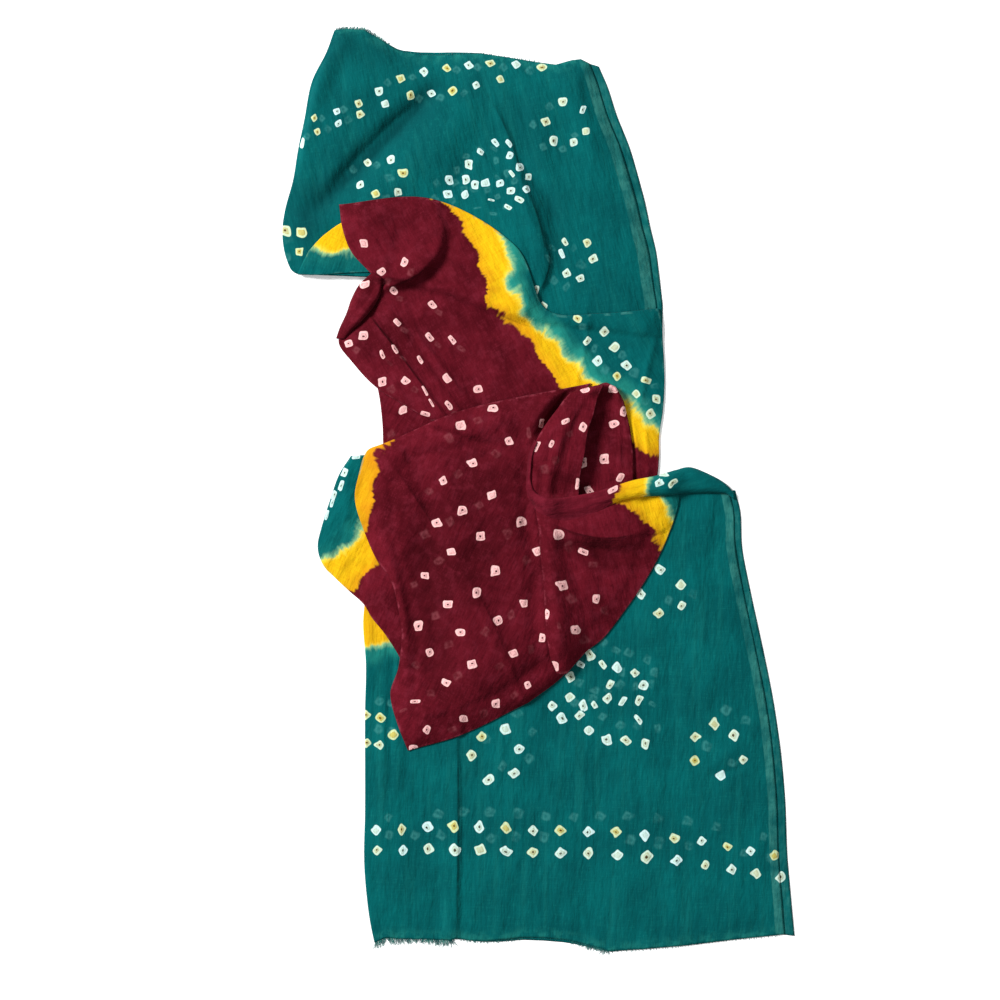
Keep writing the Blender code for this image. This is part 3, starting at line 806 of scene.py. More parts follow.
# %% Cotton material
def make_cotton():
    n = Cotton("bandhani_cotton")
    reach = dot_reach(n, "dot", 2.0)
    n.look("Base Color", dots_on_top(n, dots_below(n, dyed_cloth(n)), reach))
    threads = n.plus(n.times(n.warp, 0.5), n.times(n.weft, 0.5))
    crinkle = n.noise(n.stretch(n.weave, 1.0, 0.35, 5.0), 130, 4, 0.6)
    soft = n.noise(n.stretch(n.weave, 1.0, 0.30, 15.0), 42, 3, 0.55)
    height = n.plus(n.times(threads, 0.30), n.times(crinkle, 1.5), n.times(soft, 3.6),
                    n.times(n.ramp(reach, 0.9, 0.1), 0.35))
    n.look("Normal", n.bump(height, strength=0.85, distance=1.2 * METRE))
    n.look("Roughness", n.ramp(n.tone, 0.3, 0.7, 0.78, 0.92))
    n.look("Sheen Weight", 0.02)
    n.look("Sheen Roughness", 0.4)
    n.look("Specular IOR Level", 0.04)
    return n.material


cotton = make_cotton()
print(f"{cotton.name}: {len(cotton.node_tree.nodes)} nodes")

# %% [markdown]
# ## Loose thread
#
# The frayed threads are the same green cotton, a little paler where the light gets in.
# They could wear the cotton's material, but they are too thin to show its weave or dots,
# and one noise is enough.

# %% Thread material
def make_thread():
    n = Look("loose_thread")
    tone = n.noise(n.object_place(), 160, 2)
    n.look("Base Color", n.mix(n.ramp(tone, 0.35, 0.65), GREEN, THREAD_GREEN))
    n.look("Roughness", 0.85)
    return n.material


thread = make_thread()
print(f"{thread.name}: {len(thread.node_tree.nodes)} nodes")

# %% [markdown]
# ## Folded edges
#
# A folded edge is a half circle with a little cloth turned under it, and a folded end
# closes like the end of a pillow. Without them the edge of a thin sheet would look like
# cut paper. A thickness modifier alone can't do this, because a fold is far thicker than
# the cotton.

# %% Columns round a fold
TURN_UNDER = (18.0, 11.0, 5.0)                  # how far back the turned cloth goes
ARC = np.radians((-90, -60, -30, 0, 30, 60))    # round a fold, from below towards its top
PILLOW_ARC = np.radians((60, 30, 5))            # over a folded end, from the top down
MOST_REACH = 1.8        # a tall fold stands out no further than this
CLEAR = 0.8             # turned cloth stays this far below the top
ROUND_LEAST, ROUND_MOST = 0.4, 2.0      # how far a folded end bulges out
HANG = 1.4              # depth of a fold that has air below it


def outward(grid, first, second):
    """Unit steps in plan from the second column to the first, which is an edge."""
    out = grid[:, first] - grid[:, second]
    return out / np.maximum(np.linalg.norm(out, axis=1), 1e-6)[:, None]


def half_circle(edge, out, bottom, top, angles):
    """Columns round a fold between two heights."""
    radius, middle = 0.5 * (top - bottom), 0.5 * (top + bottom)
    reach = np.minimum(radius, MOST_REACH)
    return [at_height(edge + out * (reach * math.cos(angle))[:, None],
                      middle + radius * math.sin(angle)) for angle in angles]


def turned_side(plan, bottom, top, side):
    """Columns that lead from under the sheet, round its fold, to its first top column."""
    first, second = (0, 1) if side == "left" else (-1, -2)
    out = outward(plan, first, second)
    room = 0.4 * np.linalg.norm(plan[:, -1] - plan[:, 0], axis=1)
    step = np.linalg.norm(plan[:, first] - plan[:, second], axis=1).mean()
    columns = []
    for back in TURN_UNDER:
        flat = plan[:, first] - out * np.minimum(back, room * back / TURN_UNDER[0])[:, None]
        k = min(int(round(back / step)), plan.shape[1] - 1)
        above = top[:, k] if side == "left" else top[:, -1 - k]
        height = np.maximum(np.minimum(bottom + 0.1, above - CLEAR), 0.05)
        columns.append(at_height(flat, height))
    columns += half_circle(plan[:, first], out, bottom, top[:, first], ARC)
    stack = np.stack(columns, axis=1)
    return stack if side == "left" else stack[:, ::-1]


def pillow_end(points, seat, at_start):
    """Extra rows that close an end: each is a little further out and a little thinner."""
    row, beside = (points[0], points[1]) if at_start else (points[-1], points[-2])
    flat, high = row[:, :2], row[:, 2]
    out = flat - beside[:, :2]
    out /= np.maximum(np.linalg.norm(out, axis=1), 1e-6)[:, None]
    half = 0.5 * float(np.median(high) - high.min())
    half = min(ROUND_MOST, max(ROUND_LEAST, half))
    middle = 0.5 * (high + np.minimum(read(seat, flat) + SEAT, high))
    rows = [at_height(flat + out * half * math.cos(angle),
                      middle + (high - middle) * math.sin(angle)) for angle in PILLOW_ARC]
    return np.stack(rows[::-1] if at_start else rows)


print("columns that turn a side under:", len(TURN_UNDER) + len(ARC))

# %% [markdown]
# ## From points to a mesh
#
# The points become one mesh of four-sided faces. It carries what its look needs as
# attributes, one number for each point, and `weave` with three: the place along and
# across the threads. UV maps drawn by hand could say the same, but not this exactly.

# %% Mesh and its attributes
def cloth_mesh(name, points):
    """Mesh that faces up, from points [down, across, 3]."""
    down, across = points.shape[:2]
    verts = points.reshape(-1, 3).copy()
    verts[:, :2] -= ORIGIN
    index = np.arange(down * across).reshape(down, across)
    faces = np.stack([index[:-1, :-1], index[1:, :-1], index[1:, 1:], index[:-1, 1:]],
                     axis=-1).reshape(-1, 4)
    mesh = bpy.data.meshes.new(name)
    mesh.from_pydata((verts * METRE).tolist(), [], faces.tolist())
    mesh.update()
    if sum(face.normal.z * face.area for face in mesh.polygons) < 0:
        mesh.flip_normals()
    mesh.shade_smooth()
    mesh.materials.append(cotton)
    return mesh


def point_values(mesh, title, values):
    """One number for each point, which the shader reads by its title."""
    layer = mesh.attributes.new(title, "FLOAT", "POINT")
    layer.data.foreach_set("value", np.asarray(values, np.float32).ravel())


def weave_values(mesh, points, degrees):
    """The place of each point along and across the threads, in metres."""
    spin = math.radians(degrees)
    x, y, z = points.reshape(-1, 3).T
    turned = np.stack([x * math.cos(spin) - y * math.sin(spin),
                       x * math.sin(spin) + y * math.cos(spin), z], axis=1) * METRE
    layer = mesh.attributes.new("weave", "FLOAT_VECTOR", "POINT")
    layer.data.foreach_set("vector", turned.astype(np.float32).ravel())


print("a face of a plain mesh is about", GRAIN, "mm wide")

# %% [markdown]
# ## Dots on the mesh
#
# A dot could be painted on the points, but they lie too far apart for a clean rim. It is
# stored as a place instead: each corner of a face says where it lies in the dot that is
# nearest to the middle of its face. So a face belongs to one dot as a whole, and the
# shader can draw its rim as finely as it likes. The dots of the layer below are stored in
# the same way.

# %% Places within the dots
def nearest_dots(centres, corners, dots):
    """Per corner: position within the nearest dot, its tint and whether it has a speck."""
    if not dots:
        nowhere = np.full((len(corners), 2), 9.0)
        return nowhere, np.zeros(len(corners)), np.zeros(len(corners))
    table = np.array(dots, float)
    gap = np.linalg.norm(centres[:, None, :] - table[None, :, :2], axis=2)
    pick = np.repeat(gap.argmin(axis=1), 4)
    turn = np.radians(table[pick, 4])
    away = corners - table[pick, :2]
    x = (away[:, 0] * np.cos(turn) + away[:, 1] * np.sin(turn)) / table[pick, 2]
    y = (-away[:, 0] * np.sin(turn) + away[:, 1] * np.cos(turn)) / table[pick, 3]
    return np.stack([x, y], axis=1), table[pick, 5], (pick * 7 % 5 != 0).astype(float)


def dot_values(mesh, flat, dots, ghosts):
    """Dots of this layer, and ghosts, which are those of the layer below."""
    order = np.empty(len(mesh.loops), int)
    mesh.loops.foreach_get("vertex_index", order)
    corners = flat[order]
    centres = corners.reshape(-1, 4, 2).mean(axis=1)
    for title, found in (("dot", dots), ("ghost", ghosts)):
        place, tint, speck = nearest_dots(centres, corners, found)
        layer = mesh.uv_layers.new(name=title)
        layer.data.foreach_set("uv", place.astype(np.float32).ravel())
        if title == "dot":
            for extra, values in (("dot_tint", tint), ("dot_speck", speck)):
                layer = mesh.attributes.new(extra, "FLOAT", "CORNER")
                layer.data.foreach_set("value", values.astype(np.float32))


print("a corner without dots lies at", nearest_dots(None, np.zeros((1, 2)), ())[0][0])

# %% [markdown]
# ## A dyed sheet
#
# Each sheet rides on the frame in place of its packed nodes. Its attributes are the
# distances to the dye edges, the selvedge, the cut edge, the folds and the tucks, and the
# strength of its halo, its paleness and its amber tinge. The cotton's thickness could be a
# second layer of points, but a Solidify modifier makes that layer by itself.

# %% Make a sheet
def frame_slot(node):
    """Material slot that the packed model gives a node."""
    return next(part["material_slot"] for part in frame["record"]["subparts"]
                if part["node"] == node)


def placed(name, mesh, nodes):
    """Object in the place of some packed nodes."""
    piece = bpy.data.objects.new(name, mesh)
    bpy.context.scene.collection.objects.link(piece)
    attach(piece, "root")
    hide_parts(*nodes)
    return piece


def make_sheet(name, points, nodes, yellow=None, maroon=None, plain=ALL_GREEN, dots=(),
               ghosts=(), selvedge=None, cut_edge=None, folded=None, creases=(), deep=(),
               pale=0.0, halo=0.3, amber=0.0, weave_turn=0.0):
    """A sheet of cotton with all that its dye needs. `yellow` and `maroon` are the chains
    where those dyes start, and `plain` is what it is where a chain is left out."""
    mesh = cloth_mesh(name, points)
    flat = points.reshape(-1, 3)[:, :2]
    for title, line, otherwise in (("yellow", yellow, plain[0]), ("maroon", maroon, plain[1])):
        side, along = line_side(flat, line, otherwise)
        point_values(mesh, "to_" + title, side)
        point_values(mesh, "along_" + title, along)
    # pale is the strength of a painted highlight
    for title, strength in (("halo", halo), ("pale", pale), ("amber", amber)):
        point_values(mesh, title, np.full(len(flat), strength))
    for title, far in (("selvedge", selvedge), ("cut_edge", cut_edge), ("folded", folded)):
        point_values(mesh, title, np.full(len(flat), FAR) if far is None else far)
    # how much painted shade darkens each point
    point_values(mesh, "deep", np.clip(crease_height(flat, deep), 0, 1))
    # the painted shadow line under each tuck: the distance to it and its strength
    for title, values in zip(("tuck", "tuck_shade_strength"), tuck_shade_lines(flat, creases)):
        point_values(mesh, title, values)
    weave_values(mesh, points, weave_turn)
    dot_values(mesh, flat, dots, ghosts)
    piece = placed(name, mesh, nodes)
    shell = piece.modifiers.new("cloth thickness", "SOLIDIFY")
    shell.thickness = CLOTH * METRE
    shell.offset = -1.0
    print(f"{name}: {len(mesh.polygons)} faces")
    return piece


print("a plain stretch is in slot", frame_slot("field"))

# %% [markdown]
# ## Doubled ends
#
# A doubled end is one sheet. Its under layer starts at the selvedge, runs left along the
# floor, turns over the fold and comes back on top. Two sheets would be simpler, but they
# would meet in a seam along the fold. The under layer shows a little past the upper one,
# so both selvedges can be seen.

# %% Layers of a doubled end
UNDER_FINE = np.array([0, 2.5, 5, 7.5, 10, 13, 18, 26, 38])     # points by its selvedge
UNDER_WIDE = 40         # points from there to the fold
UNDER_TOP = 0.45        # height of the under layer
PEEP = 3.4              # how far its cut edge shows past the upper one, in places


def under_leaf(plan, step):
    """The under layer. It shows past the upper one by `step` millimetres at each row."""
    rows = []
    for row, way, past in zip(plan, outward(plan, -1, -2), step):
        line = np.vstack([row[-1] + way * past, row[::-1]])
        run = np.append(0, np.cumsum(np.linalg.norm(np.diff(line, axis=0), axis=1)))
        wide = np.linspace(UNDER_FINE[-1], run[-1], UNDER_WIDE)[1:]
        where = np.concatenate([UNDER_FINE, wide])
        rows.append(np.stack([np.interp(where, run, line[:, k]) for k in (0, 1)], axis=1))
    leaf = np.stack(rows)
    share = np.linspace(0, 1, leaf.shape[1])
    out = leaf[0] - leaf[1]
    out /= np.linalg.norm(out, axis=1)[:, None]
    peep = PEEP * np.maximum(0, np.sin(9 * share + 2.2))
    for k in range(8):
        leaf[k] += out * (peep * math.exp(-0.5 * k))[:, None]
    height = UNDER_TOP + 0.2 * (1 + uneven(leaf, 24, 77))
    height[:, len(UNDER_FINE) + 3:] = UNDER_TOP
    return at_height(leaf, height)


def doubled(plan, top, from_right, from_start, leaves, band):
    """Points of both layers, and how far in each lies from the selvedge and the cut end."""
    step = np.interp(np.linspace(0, 1, len(plan)), (0, 1), leaves)
    fold = half_circle(plan[:, 0], outward(plan, 0, 1), UNDER_TOP, top[:, 0], ARC[1:])
    points = np.concatenate([under_leaf(plan, step), np.stack(fold, axis=1),
                             at_height(plan, top)], axis=1)
    selvedge, cut_edge = np.full((2, *points.shape[:2]), FAR)
    selvedge[:, -plan.shape[1]:] = from_right * SELVEDGE / band
    selvedge[:, :len(UNDER_FINE)] = UNDER_SELVEDGE
    cut_edge[:, -plan.shape[1]:] = from_start
    return points, {"selvedge": selvedge, "cut_edge": cut_edge}


print("points across an under layer:", len(UNDER_FINE) + UNDER_WIDE - 1)

# %% [markdown]
# ## Laying a stretch
#
# This puts the steps together: plan, seat, relief, folded sides and ends. Air under a
# stretch puffs it up away from its edges, and its creases fade out towards them. Every
# stretch could have code of its own, but one function keeps them alike, and what differs
# stands in a table.

# %% Lay a stretch on the heap
LOOSE_REACH = 24.0      # loose edges of a doubled end come down within this distance
RELIEF_REACH = 9.0      # creases fade out within this distance of an edge
THINNEST = 0.6          # least height of a stretch over its seat
SWELLS = ((46, 0, 1.0), (19, 50, 0.5))      # unevenness: width, shift of the seed, share


def lay(name, rows, nodes, seed, thick=DOUBLE, right="fold", start_folds=False,
        end_folds=False, creases=(), puff=0.0, puff_edge=40.0, over=2, swell=0.4,
        lift=None, hem=None, spacing=GRAIN, leaves=None, band=SELVEDGE, **looks):
    """Makes a stretch and its sheet, and remembers its height. Its sides are folds, and
    the right one may be `hang`, which has air below. `leaves` makes a doubled end, and
    says how far its under layer shows at the first and last row. `band` is the width of
    its selvedge."""
    radius = 0.5 * thick
    plan = plan_grid(rows, spacing, (radius, leaves or radius))
    if hem:
        plan = shift_cut_edge(plan, hem)
    seat = cover(over)
    base = seat_on(seat, plan)
    edges = inside_by(plan)
    from_left, from_right, from_start, from_end = edges
    gap = np.minimum.reduce(edges)
    body = np.full(base.shape, float(thick))
    if leaves:
        body = 1.0 + (thick - 1.0) * ease(np.minimum(from_right, from_start), LOOSE_REACH)
    body = body + puff * ease(gap, puff_edge)
    relief = crease_height(plan, creases) + swell * sum(
        share * uneven(plan, wide, seed + shift) for wide, shift, share in SWELLS)
    body = np.maximum(body + relief * ease(gap + 1.5, RELIEF_REACH), THINNEST)
    if lift:
        body = body + lift(*edges)
    top = base + body
    remember(plan, top)
    if leaves:
        points, edge_looks = doubled(plan, top, from_right, from_start, leaves, band)
        return make_sheet(name, points, nodes, creases=creases, **edge_looks, **looks), points

    folds = [from_left, from_right] + start_folds * [from_start] + end_folds * [from_end]
    hung = base[:, -1] if right == "fold" else top[:, -1] - HANG
    left_turn = turned_side(plan, base[:, 0], top, "left")
    right_turn = turned_side(plan, hung, top, "right")
    points = np.concatenate([left_turn, at_height(plan, top), right_turn], axis=1)
    if start_folds:
        points = np.concatenate([pillow_end(points, seat, True), points])
    if end_folds:
        points = np.concatenate([points, pillow_end(points, seat, False)])
    aside, ends = len(TURN_UNDER) + len(ARC), len(PILLOW_ARC)
    folded = np.pad(np.minimum.reduce(folds),
                    ((ends * start_folds, ends * end_folds), (aside, aside)))
    return make_sheet(name, points, nodes, creases=creases, folded=folded, **looks), points


print("a doubled end is", DOUBLE, "mm high, away from its loose edges")

# %% [markdown]
# ## The lower end
#
# The largest green stretch lies nearly flat and doubled, with its fold on the left and
# both selvedges on the right. Its rows run from the cut end up to where it goes under the
# heap. The creases are faint, apart from one tuck along the left. They could be loop cuts
# in a plane, but a crease in a table can be moved without touching the mesh. Two rows of
# dots cross the end, and a cluster and four rings lie above them.

# %% Lay the lower end
LOWER_END = [
    (-179, -503, 283, -490),
    (-186, -458, 279, -447),
    (-190, -409, 275, -398),
    (-189, -354, 273, -343),
    (-189, -299, 268, -288),
    (-189, -244, 260, -233),
    (-188, -194, 249, -178),
    (-191, -144, 236, -118),
    (-184, -98, 226, -66),
    (-172, -52, 224, -28),
    (-164, -8, 218, -2),
]
LOWER_HEM = [(0, -4), (0.03, -9), (0.06, -7), (0.12, -6), (0.185, -4), (0.2, -6),
             (0.23, -3), (0.27, -2), (0.31, -3), (0.36, -5), (0.41, -4), (0.465, -1), (0.5, 3),
             (0.57, 13), (0.65, 12), (0.76, 9), (0.88, 4), (1, 0)]
LOWER_CREASES = [
    (-88, -250, -87, -376, -89, -505, 8, 3.2, "step"),
    (226, -271, 201, -299, 179, -310, 8, 1.6, "soft"),
    (231, -300, 212, -312, 190, -316, 3, -1.0, "soft"),
    (124, -255, 113, -343, 118, -453, 26, 1.2, "soft"),
    (-19, -321, -41, -387, -23, -486, 18, 1.2, "soft"),
    (-151, -222, -155, -343, -148, -486, 14, 1.3, "soft"),
    (-168, -210, -170, -300, -166, -420, 6, 1.2, "soft"),
    (-158, -190, -162, -260, -160, -330, 3, -1.1, "soft"),
    (-140, -235, -142, -280, -146, -330, 4, -0.9, "soft"),
    (-118, -300, -112, -400, -108, -500, 7, -1.0, "soft"),
    (-100, -430, -98, -470, -97, -505, 6, 1.3, "soft"),
    (168, -79, 179, -145, 173, -233, 22, 1.4, "soft"),
    (60, -300, 70, -380, 52, -490, 10, -0.9, "soft"),
    (160, -390, 150, -430, 156, -500, 9, 1.1, "soft"),
    (200, -350, 214, -420, 206, -480, 14, 0.9, "soft"),
    (-60, -262, -40, -300, -50, -360, 9, 1.0, "soft"),
    (30, -330, 24, -400, 34, -470, 12, 0.9, "soft"),
    (226, -60, 214, -120, 226, -200, 8, 1.1, "soft"),
    (196, -20, 200, -50, 190, -90, 10, -1.2, "soft"),
]
LOWER_YELLOW = [(-261, -180), (-188, -175), (-164, -168), (-118, -123), (25, -13), (135, 75)]
LOWER_MAROON = [(-261, -136), (-188, -127), (-164, -118), (-118, -79), (25, 31), (135, 119)]
LOWER_DOTS = (
    dot_row([(-177, -375), (-91, -372), (-5, -375), (87, -378), (180, -387), (261, -403)],
            16, size=4.9)
    + dot_row([(-176, -397), (-90, -397), (-5, -399), (88, -402), (184, -413), (268, -428)],
              16, tints=(0.5, 0.15), size=4.9)
    + chart([(72, -193, 0.7, -50), (58, -183), (48, -193, 0.8, -40), (88, -197),
             (107, -203), (36, -207), (80, -215, 0.75, 60), (117, -216), (35, -229),
             (17, -239), (50, -239), (63, -238, 0.7, -50), (77, -231), (94, -234, 0.75, 60),
             (112, -233, 0.75, 60), (27, -253), (46, -249), (111, -254, 0.55, -50),
             (57, -266), (77, -276), (98, -277), (119, -280, 0.75, 70)], turn=40, tint=0.2)
    + chart([(135, -89), (158, -106), (114, -116), (159, -129), (134, -137)], turn=45,
            tint=0.5)
    + chart([(-172, -252), (-158, -270), (-173, -282), (-188, -249), (-188, -280)],
            turn=45, tint=0.9)
    + chart([(-61, -272), (-35, -265), (-20, -286), (-72, -293), (-25, -313), (-53, -320)],
            turn=35, tint=0.4, size=5.1)
    + chart([(194, -259), (174, -273), (216, -271), (173, -299), (226, -298), (202, -315)],
            turn=50, tint=0.5)
)
lower, lower_points = lay(
    "lower_end_cloth", LOWER_END, ["lower_end"], seed=3, leaves=(10.5, 7.0), band=9.5,
    hem=LOWER_HEM, creases=LOWER_CREASES, yellow=LOWER_YELLOW, maroon=LOWER_MAROON,
    halo=0.9, amber=0.45, dots=LOWER_DOTS, ghosts=shifted(LOWER_DOTS, 13.5, 16),
    weave_turn=2)

# %% [markdown]
# ## The upper end
#
# The other green end is doubled as well, and lies at a slant. Air puffs it up. A deep
# hollow runs down its upper left, between two broad swells, and a rolled fold runs down
# to the maroon field. A sculpting brush could raise the swells, but wide creases do it
# with numbers that can be compared. All of its visible side is green. Rows of dots follow
# its cut end, with a cluster and three rings below them.

# %% Lay the upper end
UPPER_END = [
    (-223, 505, 71, 463.5),
    (-231, 480, 79, 442),
    (-247, 446, 89, 408),
    (-255, 405, 102, 375),
    (-262, 372, 111, 345),
    (-268, 339, 119, 315),
    (-277, 306, 125, 287),
    (-280, 279, 131, 262),
    (-275, 251, 134, 240),
    (-263, 236, 136, 222),
    (-226, 238.5, 137, 212),
    (-180, 239.5, 138, 202),
    (-140, 228, 138, 192),
    (-90, 212, 138, 182),
    (-30, 190, 138, 170),
]
UPPER_HEM = [(0, -1), (0.03, 2), (0.11, 4), (0.18, -4), (0.26, -14), (0.33, -15),
             (0.4, -13), (0.57, -4), (0.66, -4), (0.78, -5), (0.86, -5), (0.93, 3),
             (0.97, 6), (1, 2)]
UPPER_CREASES = [
    (-116, 432, -170, 382, -236, 312, 11, -10.5, "soft"),
    (-232, 490, -246, 430, -262, 370, 18, 5.0, "soft"),
    (-190, 450, -218, 412, -250, 366, 20, 2.6, "soft"),
    (-76, 408, -140, 352, -196, 296, 24, 5.6, "soft"),
    (-205, 500, -222, 470, -236, 430, 8, 1.4, "soft"),
    (-50, 424, -29, 380, -11, 318, 10, 2.2, "step"),
    (-16, 336, 3, 288, 9, 244, 9, 2.8, "step"),
    (5, 280, 13, 246, 0, 214, 7, 3.6, "step"),
    (-27, 326, -6, 280, -10, 216, 24, 6.0, "roll"),
    (-14, 290, -6, 262, -4, 240, 9, -2.6, "soft"),
    (-28, 370, 10, 322, 26, 270, 7, -2.4, "soft"),
    (-36, 380, -2, 310, 18, 262, 6, 1.8, "soft"),
    (26, 270, 23, 292, 18, 312, 6, 1.0, "step"),
    (56, 205, 52, 180, 44, 150, 4, 1.2, "sharp"),
    (29, 465, 53, 405, 80, 328, 12, 1.8, "soft"),
    (-233, 470, -255, 405, -268, 334, 12, 1.8, "soft"),
    (-74, 438, -94, 383, -118, 328, 18, 1.6, "soft"),
    (-60, 410, -80, 350, -110, 320, 8, -1.2, "soft"),
    (-1, 427, 3, 383, 12, 328, 12, 1.6, "soft"),
    (-160, 330, -200, 300, -250, 290, 14, 1.6, "soft"),
    (-236, 350, -246, 320, -250, 290, 9, -1.4, "soft"),
    (90, 400, 104, 330, 112, 250, 9, 1.3, "soft"),
    (60, 400, 84, 330, 92, 250, 5, -0.9, "soft"),
    (20, 440, 40, 420, 70, 400, 10, 1.2, "soft"),
]
# painted shade in the hollows of the upper end
UPPER_PAINTED_SHADE = [(-112, 440, -168, 382, -230, 318, 14, 0.74, "soft"),
              (-226, 335, -252, 300, -246, 262, 22, 0.70, "soft"),
              (-232, 455, -200, 482, -150, 455, 26, 0.42, "soft"),
              (8, 332, 24, 290, 20, 240, 13, 0.30, "soft")]
UPPER_DOTS = (
    chart([(-257.5, 379, 0.45, 75)], turn=20, tint=1.0, size=4.3)
    + dot_row([(-244, 406), (-195, 421), (-149, 449), (-99, 462), (-51, 467), (5, 463)],
              11, turn=30, tints=(0.9, 0.1), size=3.9)
    + dot_row([(-241, 391), (-193, 410), (-139, 431), (-93, 436), (-41, 449)], 9, turn=30,
              tints=(0.85, 0.1), size=3.9)
    + chart([(-186, 358, 0.8, -60), (-160, 360), (-147, 345), (-194, 333), (-177, 322),
             (-152, 324)], turn=10, tint=0.45, size=4.4)
    + chart([(28, 424), (50, 415, 0.8, 80), (9, 402), (53, 392), (18, 381), (40, 379)],
            turn=15, tint=0.4, size=4.0)
    + chart([(31, 270, 0.75, -50), (55, 269), (27, 257, 0.5, -70), (62, 252), (32, 236),
             (47, 230)], turn=25, tint=0.4, size=4.2)
    + chart([(-46, 379, 0.6, -55), (-31, 378, 0.6, -50), (-62, 369, 0.8, -30),
             (-30, 365, 0.8, 80), (-75, 355), (-19, 352), (-28, 345, 0.5, -60),
             (-10, 341), (-96, 338), (-78, 339), (-68, 333), (-57, 335), (-41, 334),
             (-29, 326, 0.8, 0), (-12, 327, 0.8, -70), (-98, 323), (-79, 322),
             (-20, 316, 0.7, -30), (-50, 316, 0.25, -10), (-32, 308, 0.55, -25)],
            turn=10, tint=0.05, spin=20, size=3.9)
    + chart([(-277, 283), (-259, 281), (-261, 260)], turn=0, tint=0.95, size=5.4)
    + chart([(-1, 218, 0.6, 75), (6, 199, 0.9, 60)], turn=40, tint=0.3)
)
upper, upper_points = lay(
    "upper_end_cloth", UPPER_END, ["upper_end"], seed=7, leaves=(12.5, 5.0), hem=UPPER_HEM,
    puff=4.5, puff_edge=45, halo=1.0, creases=UPPER_CREASES, deep=UPPER_PAINTED_SHADE,
    dots=UPPER_DOTS, ghosts=shifted(UPPER_DOTS, -14, -6), weave_turn=-14)

# %% [markdown]
# ## Two small layers
#
# A corner of the cloth is turned under the field and shows green and yellow at the left.
# Below it, a small maroon stretch lies between the upper end and the flap. So little of
# them shows that the faint unevenness is enough, and neither has creases of its own.

# %% Lay the two small layers
CORNER_TURN = [
    (-263, 235, -257, 248, -250, 261),
    (-240, 234, -236, 256, -232, 279),
    (-212, 236, -210, 264, -206, 294),
    (-186, 237, -184, 262, -180, 290),
    (-166, 238, -163, 260, -160, 280),
]
CORNER_YELLOW = [(-283, 256), (-246, 267), (-228, 261), (-211, 262), (-151, 254)]
INNER_LAYER = [
    (-178, 122, -110, 108),
    (-173, 98, -98, 84),
    (-170, 70, -90, 56),
    (-169, 42, -90, 26),
    (-166, 18, -88, 6),
]
corner, corner_points = lay(
    "corner_turn_cloth", CORNER_TURN, ["corner_turn"], seed=11, thick=2.0, over=3,
    swell=0.2, spacing=2.0, yellow=CORNER_YELLOW, weave_turn=20)
inner, inner_points = lay(
    "inner_layer_cloth", INNER_LAYER, ["inner_layer"], seed=13, thick=1.2, swell=0.25,
    plain=ALL_MAROON, dots=chart([(-147, 86)]), ghosts=chart([(-160, 60)]), weave_turn=30)

# %% [markdown]
# ## The field
#
# This is the maroon stretch over the upper end. Its upper edge is a long slanting fold. A
# tube laid along it would show where the two meet, so the sheet's own rows close it like
# the end of a pillow. Its right part shows the yellow band and the green beyond it. Folds
# fan out over its lower left, and a round bulge stands at its upper left corner. The
# hollow beside that bulge is darkened a touch with painted shade.

# %% Lay the field
FIELD = [
    (-217, 309, -114, 315, -25, 264, 9.5, 195, 70, 190, 134, 196),
    (-213, 284, -112, 296, -31, 248, 5.5, 182, 70, 176, 137, 180),
    (-203, 258, -108, 272, -38, 230, 5, 164, 70, 162, 138, 166),
    (-178, 230, -98, 248, -44, 206, 8, 146, 72, 147, 139, 150),
    (-177, 212, -98, 224, -40, 186, 10, 132, 74, 132, 140, 132),
    (-200, 186, -104, 194, -36, 164, 14, 116, 76, 114, 140, 110),
    (-219, 163, -106, 166, -30, 142, 20, 98, 78, 94, 138, 84),
    (-203, 138, -96, 138, -24, 116, 24, 78, 80, 70, 134, 58),
    (-177, 111, -84, 108, -16, 90, 30, 56, 80, 46, 134, 34),
    (-140, 88, -64, 80, -6, 64, 34, 34, 80, 22, 132, 12),
    (-112, 72, -50, 56, 0, 42, 36, 18, 80, 8, 128, 2),
]
FIELD_CREASES = [
    (-105, 291, -119, 244, -178, 219, 12, 8.0, "roll"),
    (-121, 242, -143, 227, -178, 218, 8, 2.4, "step"),
    (-98, 274, -115, 236, -158, 217, 9, -3.4, "soft"),
    (-180, 216, -194, 194, -216, 166, 9, -3.0, "soft"),
    (-168, 206, -158, 190, -150, 176, 10, 2.4, "soft"),
    (-196, 285, -170, 290, -129, 292, 20, 3.6, "soft"),
    (-58, 204, -30, 185, 13, 173, 6, 1.3, "step"),
    (-190, 196, -153, 150, -96, 72, 9, 4.6, "step"),
    (-164, 200, -132, 148, -86, 86, 7, 3.8, "roll"),
    (-146, 196, -112, 142, -70, 92, 8, 3.0, "roll"),
    (-120, 212, -124, 199, -129, 183, 4, 1.6, "sharp"),
    (-74, 158, -41, 141, -19, 106, 14, 2.0, "soft"),
    (-100, 150, -70, 120, -52, 84, 9, -1.6, "soft"),
    (56, 183, 52, 152, 42, 111, 3.5, 1.8, "sharp"),
    (130, 166, 121, 131, 113, 92, 4, 1.7, "soft"),
    (105, 75, 109, 48, 112, 9, 3, 1.8, "sharp"),
    (119, 70, 121, 40, 122, 9, 3, 1.6, "sharp"),
    (-206, 158, -178, 128, -151, 103, 9, 2.0, "soft"),
    (14, 172, -6, 186, -19, 207, 7, -3.0, "soft"),
    (-60, 250, -50, 226, -66, 200, 10, 1.8, "soft"),
    (-92, 236, -84, 214, -100, 188, 12, 1.8, "soft"),
    (20, 150, 40, 128, 60, 122, 9, -1.4, "soft"),
    (-30, 236, -20, 214, -14, 190, 7, 1.4, "soft"),
]
# painted shade in the hollow beside the bulge
FIELD_PAINTED_SHADE = [(-98, 280, -108, 240, -170, 212, 11, 0.5, "soft")]
